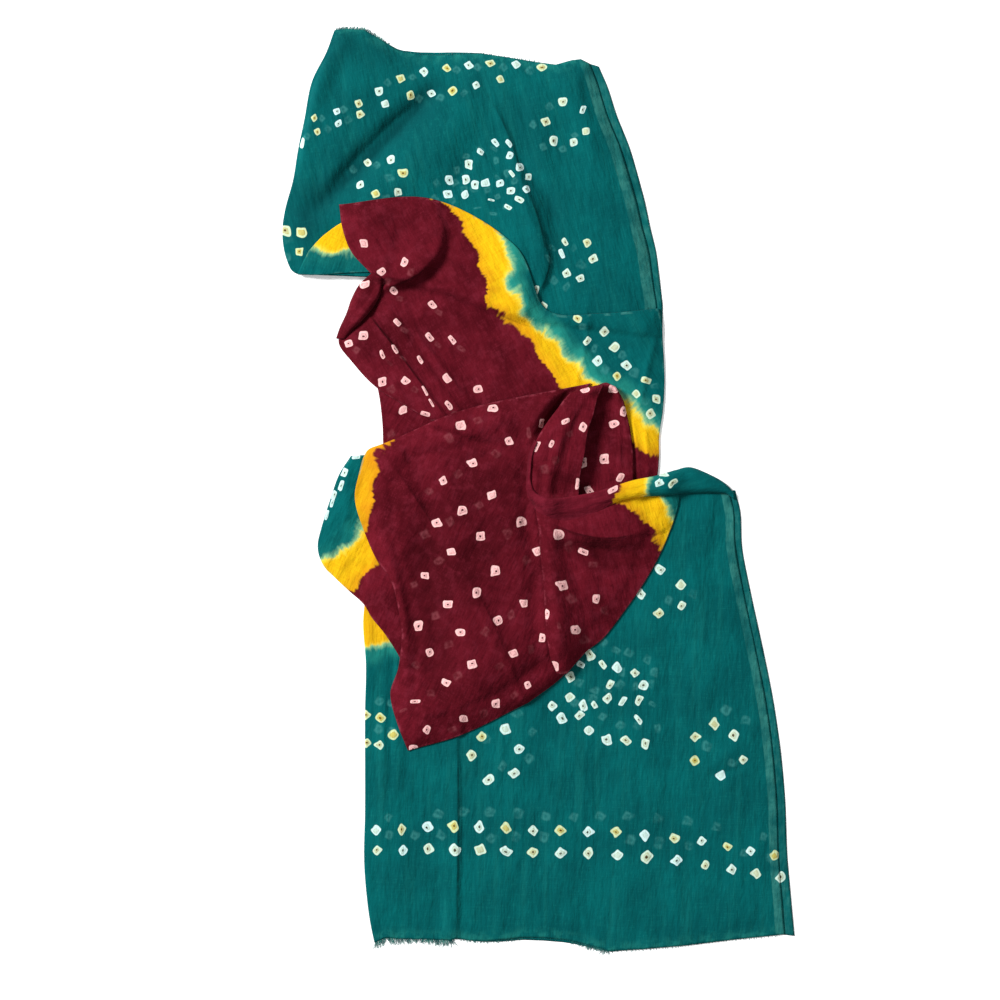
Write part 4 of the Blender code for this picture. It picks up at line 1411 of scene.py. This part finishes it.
FIELD_YELLOW = [(168, 42), (128, 65), (113, 79), (97, 98), (62, 115), (46, 131), (32, 146),
                (21, 162), (9, 174), (-10, 180), (-16, 193), (-24, 213), (-35, 227),
                (-29, 247), (-30, 263), (-41, 274), (-32, 328)]
FIELD_MAROON = [(168, 32), (134, 36), (118, 39), (104, 44), (69, 70), (31, 103), (19, 124),
                (9, 131), (-2, 155), (-18, 171), (-35, 186), (-59, 205), (-51, 216),
                (-58, 236), (-69, 263), (-80, 283), (-91, 305), (-114, 318), (-123, 334)]
FIELD_DOTS = chart([
    (-189, 267), (-145, 247, 0.7, 60), (-170, 237, 0.8, 40), (-157, 217, 0.8, -40),
    (-115, 202, 0.75, -50), (-153, 181, 0.7, -45), (-118, 166, 0.65, -50),
    (-93, 163, 0.6, -55), (-191, 168), (-207, 159), (-99, 121, 0.8, -60), (-65, 109),
    (-170, 117), (-144, 118, 0.8, -50), (-97, 91, 0.6, -50), (-148, 86),
    (-123, 82, 0.55, -20), (-170, 147, 0.5, -65), (-156, 153, 0.4, -60),
    (-128, 141, 0.45, -55), (-123, 107, 0.35, -60), (-116, 94, 0.25, -60)],
    turn=15, size=4.4) + chart([
        (44, 186, 0.8, -20), (73, 172), (55, 162, 0.7, 50), (85, 155), (66, 140), (98, 135),
        (87, 123), (120, 119, 0.7, -20), (109, 103), (131, 99, 0.8, 80), (125, 82)],
        turn=35, tint=0.6)
field, field_points = lay(
    "field_cloth", FIELD, ["field"], seed=17, start_folds=True, swell=0.7, puff=3.0,
    puff_edge=24, creases=FIELD_CREASES, deep=FIELD_PAINTED_SHADE, yellow=FIELD_YELLOW,
    maroon=FIELD_MAROON, halo=1.0, dots=FIELD_DOTS, ghosts=shifted(FIELD_DOTS, 8, -9),
    weave_turn=-30)

# %% [markdown]
# ## The side layer
#
# It comes out from under the flap on the left and crosses all three dyes on its way down.
# It could be part of the flap's mesh, but it lies lower, and a sheet of its own gives the
# step between them.

# %% Lay the side layer
SIDE_LAYER = [
    (-205, 35, -186, 36, -150, 36),
    (-218, 14, -190, 14, -140, 14),
    (-227, -12, -196, -12, -136, -12),
    (-236, -40, -200, -40, -132, -36),
    (-241, -64, -202, -62, -130, -56),
    (-235, -84, -200, -80, -130, -76),
    (-222, -98, -192, -96, -128, -94),
    (-206, -113, -184, -112, -126, -108),
    (-190, -127, -176, -126, -124, -122),
    (-181, -142, -166, -142, -124, -140),
    (-168, -158, -156, -158, -124, -158),
    (-156, -176, -146, -176, -122, -176),
    (-148, -190, -140, -190, -122, -190),
]
SIDE_CREASES = [
    (-226, -20, -206, -30, -180, -20, 7, 1.8, "soft"),
    (-224, -70, -196, -86, -170, -84, 6, -1.6, "soft"),
    (-206, 20, -210, -20, -204, -60, 8, 1.8, "soft"),
    (-180, -110, -160, -130, -140, -150, 7, 1.6, "soft"),
    (-215, 10, -200, 2, -186, 8, 4, -1.2, "soft"),
]
SIDE_YELLOW = [(-173, -2), (-188, -37), (-196, -48), (-201, -62), (-217, -71),
               (-234, -80), (-261, -92)]
SIDE_MAROON = [(-151, -46), (-177, -80), (-184, -89), (-190, -98), (-207, -113),
               (-233, -136)]
SIDE_DOTS = chart([(-199, 34, 0.4, 5), (-212, 18, 0.75, 60), (-215, 4, 0.5, 75),
                   (-223, -7, 0.4, 70), (-225, -15, 0.35, 75), (-231, -29, 0.35, 75)],
                  size=4.6)
side, side_points = lay(
    "side_layer_cloth", SIDE_LAYER, ["side_layer"], seed=23, thick=2.0, puff=1.5,
    puff_edge=22, start_folds=True, creases=SIDE_CREASES, amber=0.15, yellow=SIDE_YELLOW,
    maroon=SIDE_MAROON, dots=SIDE_DOTS, weave_turn=24)

# %% [markdown]
# ## The hidden layers
#
# The layers that never show only lift the flap. Sheets for them would be faces that
# nobody sees, so they are laid on the raster without one, as one rounded heap.

# %% Raise the heap under the flap
HIDDEN_LAYERS = [
    (-132, 26, 0, 52),
    (-150, -14, 60, 30),
    (-146, -62, 108, -22),
    (-132, -112, 96, -84),
    (-124, -167, 52, -140),
    (-126, -216, 6, -178),
    (-118, -246, -44, -216),
]
HIDDEN_THIN, HIDDEN_PUFF, HIDDEN_REACH = 1.2, 5.0, 55.0
hidden_plan = plan_grid(HIDDEN_LAYERS, spacing=5.0)
hidden_gap = np.minimum.reduce(inside_by(hidden_plan))
hidden_top = (seat_on(cover(3), hidden_plan) + HIDDEN_THIN
              + HIDDEN_PUFF * ease(hidden_gap, HIDDEN_REACH))
remember(hidden_plan, hidden_top)
print("the hidden layers reach", round(float(hidden_top.max()), 1), "mm")

# %% [markdown]
# ## The flap
#
# The big maroon flap lies over the middle of the heap, puffed up by the layers below it.
# Its left edge shows the yellow band, tinged amber, and that amber is painted shade. Soft
# creases run down it. The hollows between them look deeper than the layers below leave
# room for, so the rest of their shade is painted into the colour.

# %% Lay the flap
FLAP = [
    (-169, 49, -76, 86, 58, 114),
    (-187, 41, -86, 64, 44, 96),
    (-196, 14, -92, 38, 30, 66),
    (-200, -12, -94, 10, 20, 34),
    (-191, -44, -92, -20, 14, 0),
    (-177, -76, -88, -54, 14, -34),
    (-160, -101, -80, -84, 16, -66),
    (-152, -130, -74, -114, 28, -98),
    (-148, -160, -70, -144, 38, -128),
    (-152, -196, -66, -176, 44, -160),
    (-161, -225, -68, -206, 42, -188),
    (-154, -256, -74, -238, 24, -210),
    (-142, -287, -79, -268, -8, -234),
]
FLAP_CREASES = [
    (-88, -68, -134, -8, -168, 34, 12, 2.4, "roll"),
    (-174, 30, -152, -12, -112, -66, 10, -1.6, "soft"),
    (-11, -238, -38, -182, -70, -118, 12, 2.4, "roll"),
    (-120, -14, -127, -100, -110, -222, 20, -6.5, "soft"),
    (-168, -60, -149, -130, -144, -206, 7, 4.5, "soft"),
    (-165, 34, -134, -9, -103, -58, 7, 1.6, "step"),
    (-74, -101, -48, -148, -16, -228, 7, 1.4, "step"),
    (38, 114, 10, 92, -8, 58, 12, 6.5, "soft"),
    (46, 112, 22, 90, 3, 60, 7, -9.0, "soft"),
    (-84, -60, -74, -150, -72, -230, 14, 3.0, "soft"),
    (-160, 42, -96, 53, -8, 89, 8, 1.8, "soft"),
    (-74, 20, -41, -13, -23, -79, 16, 2.4, "soft"),
    (-18, 60, -14, 0, -12, -60, 9, -3.2, "soft"),
    (-8, -40, -4, -110, 0, -176, 9, -3.8, "soft"),
    (-150, 20, -130, -40, -128, -70, 12, 1.4, "soft"),
    (-96, -90, -60, -60, -30, -10, 10, -2.0, "soft"),
    (-60, -130, -52, -170, -60, -220, 12, 1.8, "soft"),
    (-140, -230, -110, -240, -70, -232, 10, 1.8, "soft"),
    (-120, 60, -90, 20, -80, -20, 9, -1.6, "soft"),
    (-60, 90, -30, 60, -20, 20, 7, 1.2, "soft"),
]
# painted shade in the flap's hollows
FLAP_PAINTED_SHADE = [(-119, -40, -124, -108, -108, -205, 24, 0.75, "soft"),
             (-66, 50, -62, -80, -50, -225, 48, 0.50, "soft"),
             (38, 116, 4, 84, -10, 44, 14, 0.30, "soft")]
FLAP_MAROON = [(-153, 70), (-166, 49), (-175, 35), (-177, 15), (-180, -6), (-182, -24),
               (-187, -43), (-206, -62)]
FLAP_DOTS = chart([
    (-83, 69), (-31, 52), (-49, 88, 0.8, 0), (-71, 28), (-103, 8), (-50, -7), (-82, -24),
    (-110, -38), (-18, -37), (-62, -52), (-94, -69), (-123, -95, 0.85, 0), (-46, -90),
    (-66, -113), (-98, -126, 0.85, 0), (-14, -126), (-130, -150), (-43, -144),
    (-83, -157, 0.8, 0), (-118, -179), (-26, -180), (-71, -192), (-100, -212, 0.85, -20),
    (-10, -215), (-45, -235), (-80, -252, 0.8, 0), (-121, -264, 0.8, 60),
    (5, 72, 0.6, 80), (-133, -233, 0.4, 5), (-136, -286, 0.8, 0), (0, -68),
    (5, -163, 0.75, 80)], size=4.65)
# the strong amber on the flap's yellow edge is painted shade
flap, flap_points = lay(
    "flap_cloth", FLAP, ["flap", "hidden_layers"], seed=29, thick=2.0, puff=7.5,
    puff_edge=32, start_folds=True, end_folds=True, over=3, swell=0.8,
    creases=FLAP_CREASES, deep=FLAP_PAINTED_SHADE, plain=ALL_MAROON, maroon=FLAP_MAROON, amber=0.85,
    dots=FLAP_DOTS, ghosts=shifted(FLAP_DOTS, -14, -12), weave_turn=26)

# %% [markdown]
# ## The floor of the hood
#
# At the right of the flap the cloth forms a loop like a hood. This is its inside, which
# rises to a rounded wall at its top and right. A crease would follow one arc, and this
# wall follows two edges of the sheet, so a function lifts it instead.

# %% Lay the floor of the hood
COWL_FLOOR = [
    (63, 111, 75, 114, 86, 110),
    (50, 98, 74, 102, 93, 97),
    (38, 82, 70, 88, 97, 82),
    (28, 64, 66, 68, 101, 64),
    (20, 44, 62, 46, 104, 42),
    (12, 22, 60, 24, 105, 20),
    (8, 4, 58, 4, 105, 6),
    (8, -12, 56, -12, 104, -6),
]
COWL_CREASES = [
    (90, 72, 91, 44, 90, 2, 3, 2.0, "sharp"),
    (97, 80, 101, 50, 98, 10, 5, 1.8, "soft"),
    (60, 60, 66, 30, 62, 0, 7, -1.6, "soft"),
    (84, 104, 90, 90, 90, 74, 6, 1.6, "soft"),
]
COWL_DOTS = chart([(84, 109, 0.8, 0), (95, 84, 0.7, 70), (84, 71), (74, 32), (50, 28),
                   (91, 12, 0.7, 70), (57, -2, 0.7, -60)], size=4.75)
WALL_LOW, WALL_HIGH, WALL_WIDE = 1.6, 8.0, 8.0      # heights and half width of the wall


def cowl_wall(_left, from_right, from_start, _end):
    """The wall of the hood stands up to a rounded rim at its top and right."""
    rim = np.minimum(from_right, from_start + 1.0)
    tall = WALL_LOW + WALL_HIGH * np.exp(-(from_start / 26.0) ** 2)
    return tall * np.exp(-((rim - 1.5) / WALL_WIDE) ** 2)


cowl, cowl_points = lay(
    "cowl_floor_cloth", COWL_FLOOR, ["cowl_floor"], seed=31, thick=1.2, puff=0.6,
    puff_edge=20, start_folds=True, lift=cowl_wall, spacing=1.8, creases=COWL_CREASES,
    plain=ALL_MAROON, dots=COWL_DOTS, weave_turn=-8)

# %% [markdown]
# ## The pleat
#
# The right part of the flap lies over it along a crease, and narrows to a point below.
# The flap's mesh could be folded over itself, but a second sheet on top looks the same
# and is far easier to place. Its right edge shows the yellow band.

# %% Lay the pleat
FLAP_PLEAT = [
    (-3, -12, 70, -8, 152, 2),
    (-1, -26, 76, -22, 156, -12),
    (2, -44, 74, -42, 149, -38),
    (3, -68, 72, -66, 137, -68),
    (6, -96, 66, -94, 121, -98),
    (8, -126, 56, -126, 98, -132),
    (10, -156, 44, -156, 74, -163),
    (14, -182, 33, -181, 53, -180),
    (21, -201, 27, -202, 33, -202),
]
PLEAT_CREASES = [
    (104, -52, 54, -55, 10, -45, 24, 9.0, "roll"),
    (34, -60, 64, -68, 102, -78, 12, -9.0, "soft"),
    (112, -48, 62, -53, 8, -34, 7, 3.0, "step"),
    (13, -50, 17, -110, 22, -176, 9, 3.4, "soft"),
    (14, -52, 42, -74, 100, -80, 7, 2.4, "soft"),
    (28, -66, 62, -90, 116, -90, 9, -2.2, "soft"),
    (10, -34, 50, -40, 110, -30, 6, 1.4, "soft"),
    (9, -79, 25, -134, 23, -189, 10, 2.2, "soft"),
    (42, -79, 53, -112, 50, -167, 12, 1.8, "soft"),
    (72, -92, 84, -108, 86, -126, 8, 1.3, "soft"),
    (96, -30, 112, -46, 126, -62, 6, 1.2, "soft"),
]
# painted shade in the pleat's hollow below its roll
PLEAT_PAINTED_SHADE = [(36, -62, 68, -72, 106, -80, 13, 0.75, "soft")]
PLEAT_YELLOW = [(168, -62), (146, -29), (136, -13), (130, -2), (122, 9)]
PLEAT_MAROON = [(186, -140), (157, -90), (136, -62), (130, -53), (121, -40), (110, -29),
                (103, -21), (88, -17), (81, -12), (69, -2)]
PLEAT_DOTS = chart([(23, -50), (50, -69, 0.8, -20), (27, -106), (64, -121, 0.85, 80),
                    (41, -154), (18, -194, 0.85, 80), (10, -137, 0.45, 80)], size=5.1)
pleat, pleat_points = lay(
    "flap_pleat_cloth", FLAP_PLEAT, ["flap_pleat"], seed=37, thick=2.0, puff=4.0,
    puff_edge=24, end_folds=True, over=5, swell=0.8, spacing=2.2, creases=PLEAT_CREASES,
    deep=PLEAT_PAINTED_SHADE, yellow=PLEAT_YELLOW, maroon=PLEAT_MAROON, dots=PLEAT_DOTS,
    ghosts=shifted(PLEAT_DOTS, 12, -12), weave_turn=-18)

# %% [markdown]
# ## The lip of the hood
#
# A band of cloth stands up round the left of the hood and hangs free over its floor, so
# its right side is a hanging fold. A strip bent along a curve would stand too evenly. A
# function lifts it, most in the middle of its length and at its free edge.

# %% Lay the lip of the hood
COWL_LIP = [
    (57, 111, 64, 112, 71, 111),
    (37, 104, 50, 106, 66, 99),
    (23, 87, 42, 88, 61, 80),
    (7, 65, 34, 66, 55, 62),
    (-4, 44, 27, 46, 52, 42),
    (-9, 24, 21, 24, 48, 22),
    (-9, 6, 19, 6, 46, 8),
    (-4, -8, 19, -14, 45, -11),
]
LIP_CREASES = [
    (40, 92, 22, 56, 16, 4, 9, 1.0, "soft"),
    (52, 90, 40, 50, 36, 0, 8, -0.8, "soft"),
]
LIP_DOTS = chart([(52, 107, 0.6, 20), (31, 73, 0.6, 25), (50, 67, 0.8, 60),
                  (-1, 46, 0.5, 65), (15, 48, 0.5, 70), (44, 5, 0.5, 85)], size=4.75)
LIP_HEIGHT = 11.0


def lip_stand(from_left, from_right, from_start, from_end):
    """The band is highest in the middle of its length and at its free edge."""
    along = from_start / np.maximum(from_start + from_end, 1.0)
    across = from_left / np.maximum(from_left + from_right, 1.0)
    foot = 1 - 0.5 * ease(np.maximum(along - 0.62, 0), 0.38) ** 2
    return LIP_HEIGHT * foot * ease(0.16 + along, 0.5) * (0.68 + 0.32 * ease(across, 0.6))


lip, lip_points = lay(
    "cowl_lip_cloth", COWL_LIP, ["cowl_lip"], seed=41, thick=1.2, right="hang",
    start_folds=True, lift=lip_stand, over=1, spacing=1.8, creases=LIP_CREASES,
    plain=ALL_MAROON, dots=LIP_DOTS, ghosts=chart([(20, 30), (36, 60), (8, 20)]),
    weave_turn=10)

# %% [markdown]
# ## Rolled pieces
#
# Two edges are rolled up tightly enough to be tubes. A tube over a band of plan points is
# simpler than rolling a sheet, and nobody can look inside.

# %% Tube over a band
AROUND = 17             # points over the top of a tube
RIDGE = 0.14            # where across the band a sloping one is highest
BLEND_LENGTH = 0.12     # share of the length in which a sloping band becomes a round one


def level_seat(raster, line):
    """Seat of a band: no lower than further out, and eased over nine rows."""
    base = read(raster, line)
    level = np.maximum.accumulate(base[:, ::-1], axis=1)[:, ::-1]
    padded = np.pad(level, ((4, 4), (0, 0)), mode="edge")
    eased = sum(padded[k:k + len(level)] for k in range(9)) / 9
    return np.maximum(eased, base) + 0.25


def rolled(name, rows, heights, nodes, seed, spacing=2.0, flat_from=0.0, **looks):
    """Closed tube over a band. Before `flat_from` (share of its length) its outer side
    slopes gently down, and after it the band is rounded on both sides."""
    plan = plan_grid([row[:4] for row in rows], spacing)
    inner, outer = plan[:, 0], plan[:, -1]
    tall = curve(np.array(heights, float)[:, None],
                 np.linspace(0, len(heights) - 1, len(plan)))
    across = 0.5 - 0.5 * np.cos(np.linspace(0, math.pi, AROUND))
    line = inner[:, None] + (outer - inner)[:, None] * across[None, :, None]
    seat = cover(1)
    base = level_seat(seat, line)
    rising = np.sqrt(np.clip(1 - ((RIDGE - across) / RIDGE) ** 2, 0, 1))
    falling = np.cos(0.5 * math.pi * np.clip((across - RIDGE) / (1 - RIDGE), 0, 1))
    sloped = np.where(across < RIDGE, 0.6 + 0.4 * rising, falling)
    rounded = (1 - np.abs(2 * across - 1) ** 2.6) ** 0.5
    along = np.linspace(0, 1, len(plan))
    share = np.clip((along - flat_from) / BLEND_LENGTH + 0.5, 0, 1)[:, None]
    wave = 1 + 0.08 * uneven(line, 26, seed) + 0.05 * uneven(line, 11, seed + 3)
    foot, high = base[:, -1:], base[:, :5].max(axis=1, keepdims=True)
    rim = foot + (high - foot + tall) * sloped * (0.6 + 0.4 * wave)
    height = rim * (1 - share) + (base + tall * rounded * wave) * share
    height = np.maximum(height, read(seat, line) + SEAT)
    # the outer side of the rim grows out of the cloth below it without a step
    merge = (np.clip((across - 0.55) / 0.45, 0, 1) ** 1.5) * (1 - share)
    height = height * (1 - merge) + (read(heap, line) - 0.5) * merge
    under = np.minimum(base + 0.02, height - 0.2)
    remember(line, height)
    points = np.concatenate([at_height(line, height),
                             at_height(line, under)[:, -2::-1]], axis=1)
    return make_sheet(name, points, nodes, **looks), points


print("points round a tube:", 2 * AROUND - 1)

# %% [markdown]
# ## The curled edge and the roll
#
# The left edge of the field curls into a small roll. The larger roll starts round the
# left of the hood, turns its lower corner and runs on as a ridge to the right edge. A
# bevelled curve would be round all along, and a table of sections lets a roll swell and
# flatten on its way. A row is a section: inner edge x and y, outer edge x and y, and
# height.

# %% Make the curl and the roll
EDGE_CURL = [
    (-181, 236, -170, 230),
    (-195, 225, -172, 214),
    (-204, 209, -179, 200),
    (-210, 192, -191, 185),
    (-217, 177, -204, 173),
    (-221, 165, -212, 164),
]
CURL_HEIGHTS = (1.6, 8, 12, 11, 6, 1.6)
ROLL = [
    (0, 50, -3, 53, 0.2),
    (-5, 37, -9, 38, 0.6),
    (-7, 21, -11, 20, 0.9),
    (-7, 7, -12, 3, 1.0),
    (-1, -5, -9, -13, 1.2),
    (16, -11, 5, -28, 1.4),
    (42, -8, 32, -35, 1.6),
    (66, -3, 63, -26, 2.6),
    (86, 3, 89, -14, 5.0),
    (106, 9, 114, -9, 8.0),
    (131, 14, 136, -8, 9.5),
    (152, 20, 156, -6, 9.5),
    (169, 23, 178, -5, 9.0),
    (192, 14, 197, -5, 8.0),
    (207, 5, 208, -6, 6.0),
    (216, -4, 217, -12, 3.4),
]
ROLL_YELLOW = [(111, -35), (114, -13), (119, 12), (122, 37)]
ROLL_MAROON = [(76, -35), (82, -13), (90, 5), (94, 26)]
ROLL_DOTS = chart([(138, 15, 0.4, 5), (133, 6, 0.7, 30), (148, 6, 0.6, 40),
                   (82, -2, 0.5, 30)], size=4.8, tint=0.3)
curl, curl_points = rolled(
    "edge_curl_cloth", [(row[2], row[3], row[0], row[1]) for row in EDGE_CURL],
    CURL_HEIGHTS, ["edge_curl"], seed=5, spacing=1.5, plain=ALL_MAROON,
    dots=chart([(-189, 224, 0.8, 20)], size=5.0), weave_turn=40)
# the roll gets a painted highlight through pale
roll, roll_points = rolled(
    "roll_cloth", ROLL, [row[4] for row in ROLL], ["roll"], seed=9, flat_from=0.5,
    pale=0.12, yellow=ROLL_YELLOW, maroon=ROLL_MAROON, dots=ROLL_DOTS, weave_turn=80)

# %% [markdown]
# ## One loose thread
#
# Loose warp threads stand out of both cut ends. Hair particles would do too, but a few
# hundred threads are easily built as thin three-sided rods, and each can be placed.

# %% Points of a thread
THREAD = 0.42           # half thickness of a thread at its root
ROOT = 1.2              # how deep its root sits in the cloth
THREAD_RINGS = (0.0, 0.3, 0.65, 1.0)        # shares of its length that have a ring of points
THREAD_SIDES = np.radians((90, 210, 330))
THREAD_FACES = [(3 * k + i, 3 * k + (i + 1) % 3, 3 * k + 3 + (i + 1) % 3, 3 * k + 3 + i)
                for k in range(3) for i in range(3)] + [(2, 1, 0), (9, 10, 11)]


def thread_points(root, out, length, lean, bow):
    """Rings of three points along a thread that thins out and sinks to the floor."""
    sideways = np.array((-out[1], out[0], 0))
    points = []
    for t in THREAD_RINGS:
        spot = root - out * ROOT + out * (length + ROOT) * t
        spot = spot + sideways * length * (lean * t + bow * t * t)
        spot[2] = max(0.22, root[2] * (1 - t) + 0.3 * t)
        thick = THREAD * (1 - 0.6 * t)
        points += [spot + sideways * thick * math.cos(angle)
                   + np.array((0, 0, thick * math.sin(angle))) for angle in THREAD_SIDES]
    return points


print("a thread has", len(THREAD_FACES), "faces")

# %% [markdown]
# ## Frayed ends
#
# Threads come loose in tufts, closer and longer in some places than in others. Evenly
# spaced they would look like a comb, so a short table of tufts puts the long ones where
# the edge was pulled most.

# %% Make the frayed threads
def frayed(name, sheet, tufts, nodes, seed):
    """Threads along the cut edge of a doubled end's upper layer. A tuft says the share of
    the edge where it starts and ends, its number of threads and their length."""
    rng = np.random.default_rng(seed)
    upper_from = len(UNDER_FINE) + UNDER_WIDE - 1 + len(ARC) - 1
    row, beside = sheet[0, upper_from:], sheet[1, upper_from:]
    share = np.append(0, np.cumsum(np.linalg.norm(np.diff(row, axis=0), axis=1)))
    share /= share[-1]
    verts, faces = [], []
    roots = [(first + (last - first) * (k + 0.5) / count, reach)
             for first, last, count, reach in tufts for k in range(count)]
    for s, reach in roots:
        s = min(0.995, max(0.0, s + rng.uniform(-0.004, 0.004)))
        root, next_in = (np.array([np.interp(s, share, line[:, i]) for i in range(3)])
                         for line in (row, beside))
        out = (root - next_in) * (1, 1, 0)
        out /= np.linalg.norm(out)
        pulled = 0.45 + 0.55 * abs(math.sin(9.0 * s + seed))
        length = reach * pulled * rng.uniform(0.4, 1.0)
        lean, bow = rng.uniform(-0.5, 0.5), rng.uniform(-0.4, 0.4)
        faces += [tuple(len(verts) + i for i in face) for face in THREAD_FACES]
        verts += thread_points(root, out, length, lean, bow)
    verts = np.array(verts)
    verts[:, :2] -= ORIGIN
    mesh = bpy.data.meshes.new(name)
    mesh.from_pydata((verts * METRE).tolist(), [], faces)
    mesh.update()
    mesh.materials.append(thread)
    print(f"{name}: {len(roots)} threads")
    return placed(name, mesh, nodes)


lower_fray = frayed("lower_fray_threads", lower_points, [
    (0.00, 0.12, 120, 10.0), (0.12, 0.19, 90, 13.0), (0.19, 0.36, 70, 4.0),
    (0.36, 0.48, 30, 3.0), (0.48, 0.57, 100, 8.0), (0.57, 0.99, 70, 3.0)],
    ["lower_fray"], seed=2)
upper_fray = frayed("upper_fray_threads", upper_points, [
    (0.00, 0.22, 110, 3.6), (0.22, 0.34, 20, 2.5), (0.34, 0.62, 110, 3.0),
    (0.62, 0.80, 20, 2.5)], ["upper_fray"], seed=4)

# %% [markdown]
# ## The table
#
# A pale matt table. It glows faintly, so that the shadows on it stay light, as they do
# beside a large white surround. More lamps would lighten them as well, but they would
# also flatten the creases.

# %% Make the table
TABLE_HALF = 9.0        # metres
PAINT_DARK, PAINT_LIGHT = (0.90, 0.90, 0.90, 1), (0.91, 0.91, 0.91, 1)


def make_table():
    mesh = bpy.data.meshes.new("table")
    corners = [(-1, -1, 0), (1, -1, 0), (1, 1, 0), (-1, 1, 0)]
    mesh.from_pydata([[TABLE_HALF * v for v in corner] for corner in corners], [],
                     [(0, 1, 2, 3)])
    n = Look("table_paint")
    n.look("Base Color", n.mix(n.noise(n.object_place(), 40, 3), PAINT_DARK, PAINT_LIGHT))
    n.look("Roughness", 0.9)
    n.look("Emission Color", (1, 1, 1, 1))
    n.look("Emission Strength", 0.25)
    mesh.materials.append(n.material)
    table = bpy.data.objects.new("table", mesh)
    bpy.context.scene.collection.objects.link(table)
    return table


table = make_table()
print("table:", 2 * TABLE_HALF, "m wide")

# %% [markdown]
# ## Flat sizes
#
# A sewing pattern would give how wide and long each stretch lies opened out, but this
# cloth has none, and this script doesn't work those sizes out.


# %% [markdown]
# ## Light
#
# A strong soft lamp stands to the upper left and a weak one to the lower right. White
# surroundings fill the shadows. A sun lamp would be simpler, but a disc nearby is
# stronger on its own side, as a softbox is. Both lamps are discs aimed at the middle of
# the stole.

# %% Set up the light
SURROUND = 0.24         # strength of the white surroundings


def lamp(name, place, size, power):
    data = bpy.data.lights.new(name, "AREA")
    data.shape, data.size, data.energy = "DISK", size, power
    light = bpy.data.objects.new(name, data)
    bpy.context.scene.collection.objects.link(light)
    light.location = place
    way = -np.array(place) / np.linalg.norm(place)
    light.rotation_euler = (math.acos(-way[2]), 0, math.atan2(way[1], way[0]) - math.pi / 2)
    print(f"{name}: {power} W")


lamp("softbox_key", (-4.9, 2.6, 4.0), 2.2, 810)
lamp("softbox_fill", (3.6, -2.8, 4.2), 2.0, 60)
world = bpy.data.worlds.new("studio")
world.use_nodes = True
world.node_tree.nodes["Background"].inputs["Color"].default_value = (1, 1, 1, 1)
world.node_tree.nodes["Background"].inputs["Strength"].default_value = SURROUND
scene = bpy.context.scene
scene.world = world
scene.view_settings.view_transform = "Standard"

# %% [markdown]
# ## Camera
#
# It looks straight down from well above, which shows the whole outline without slant. An
# orthographic camera would do the same. A long lens comes close to it, and still shows
# what stands up a little larger, as a real camera does.

# %% Set up the camera
VIEW_WIDTH, VIEW_HEIGHT = 1.100, 2.4    # metres that the picture is wide, and to the camera
VIEW_CENTRE = (-0.0409, -0.0122)
camera_data = bpy.data.cameras.new("camera")
camera_data.sensor_width = 36.0
camera_data.lens = camera_data.sensor_width * VIEW_HEIGHT / VIEW_WIDTH
camera = bpy.data.objects.new("camera", camera_data)
bpy.context.scene.collection.objects.link(camera)
camera.location = (*VIEW_CENTRE, VIEW_HEIGHT)
scene.camera = camera
print(f"camera lens: {camera_data.lens:.1f} mm")

# %% [markdown]
# ## Finish
#


print("finished")
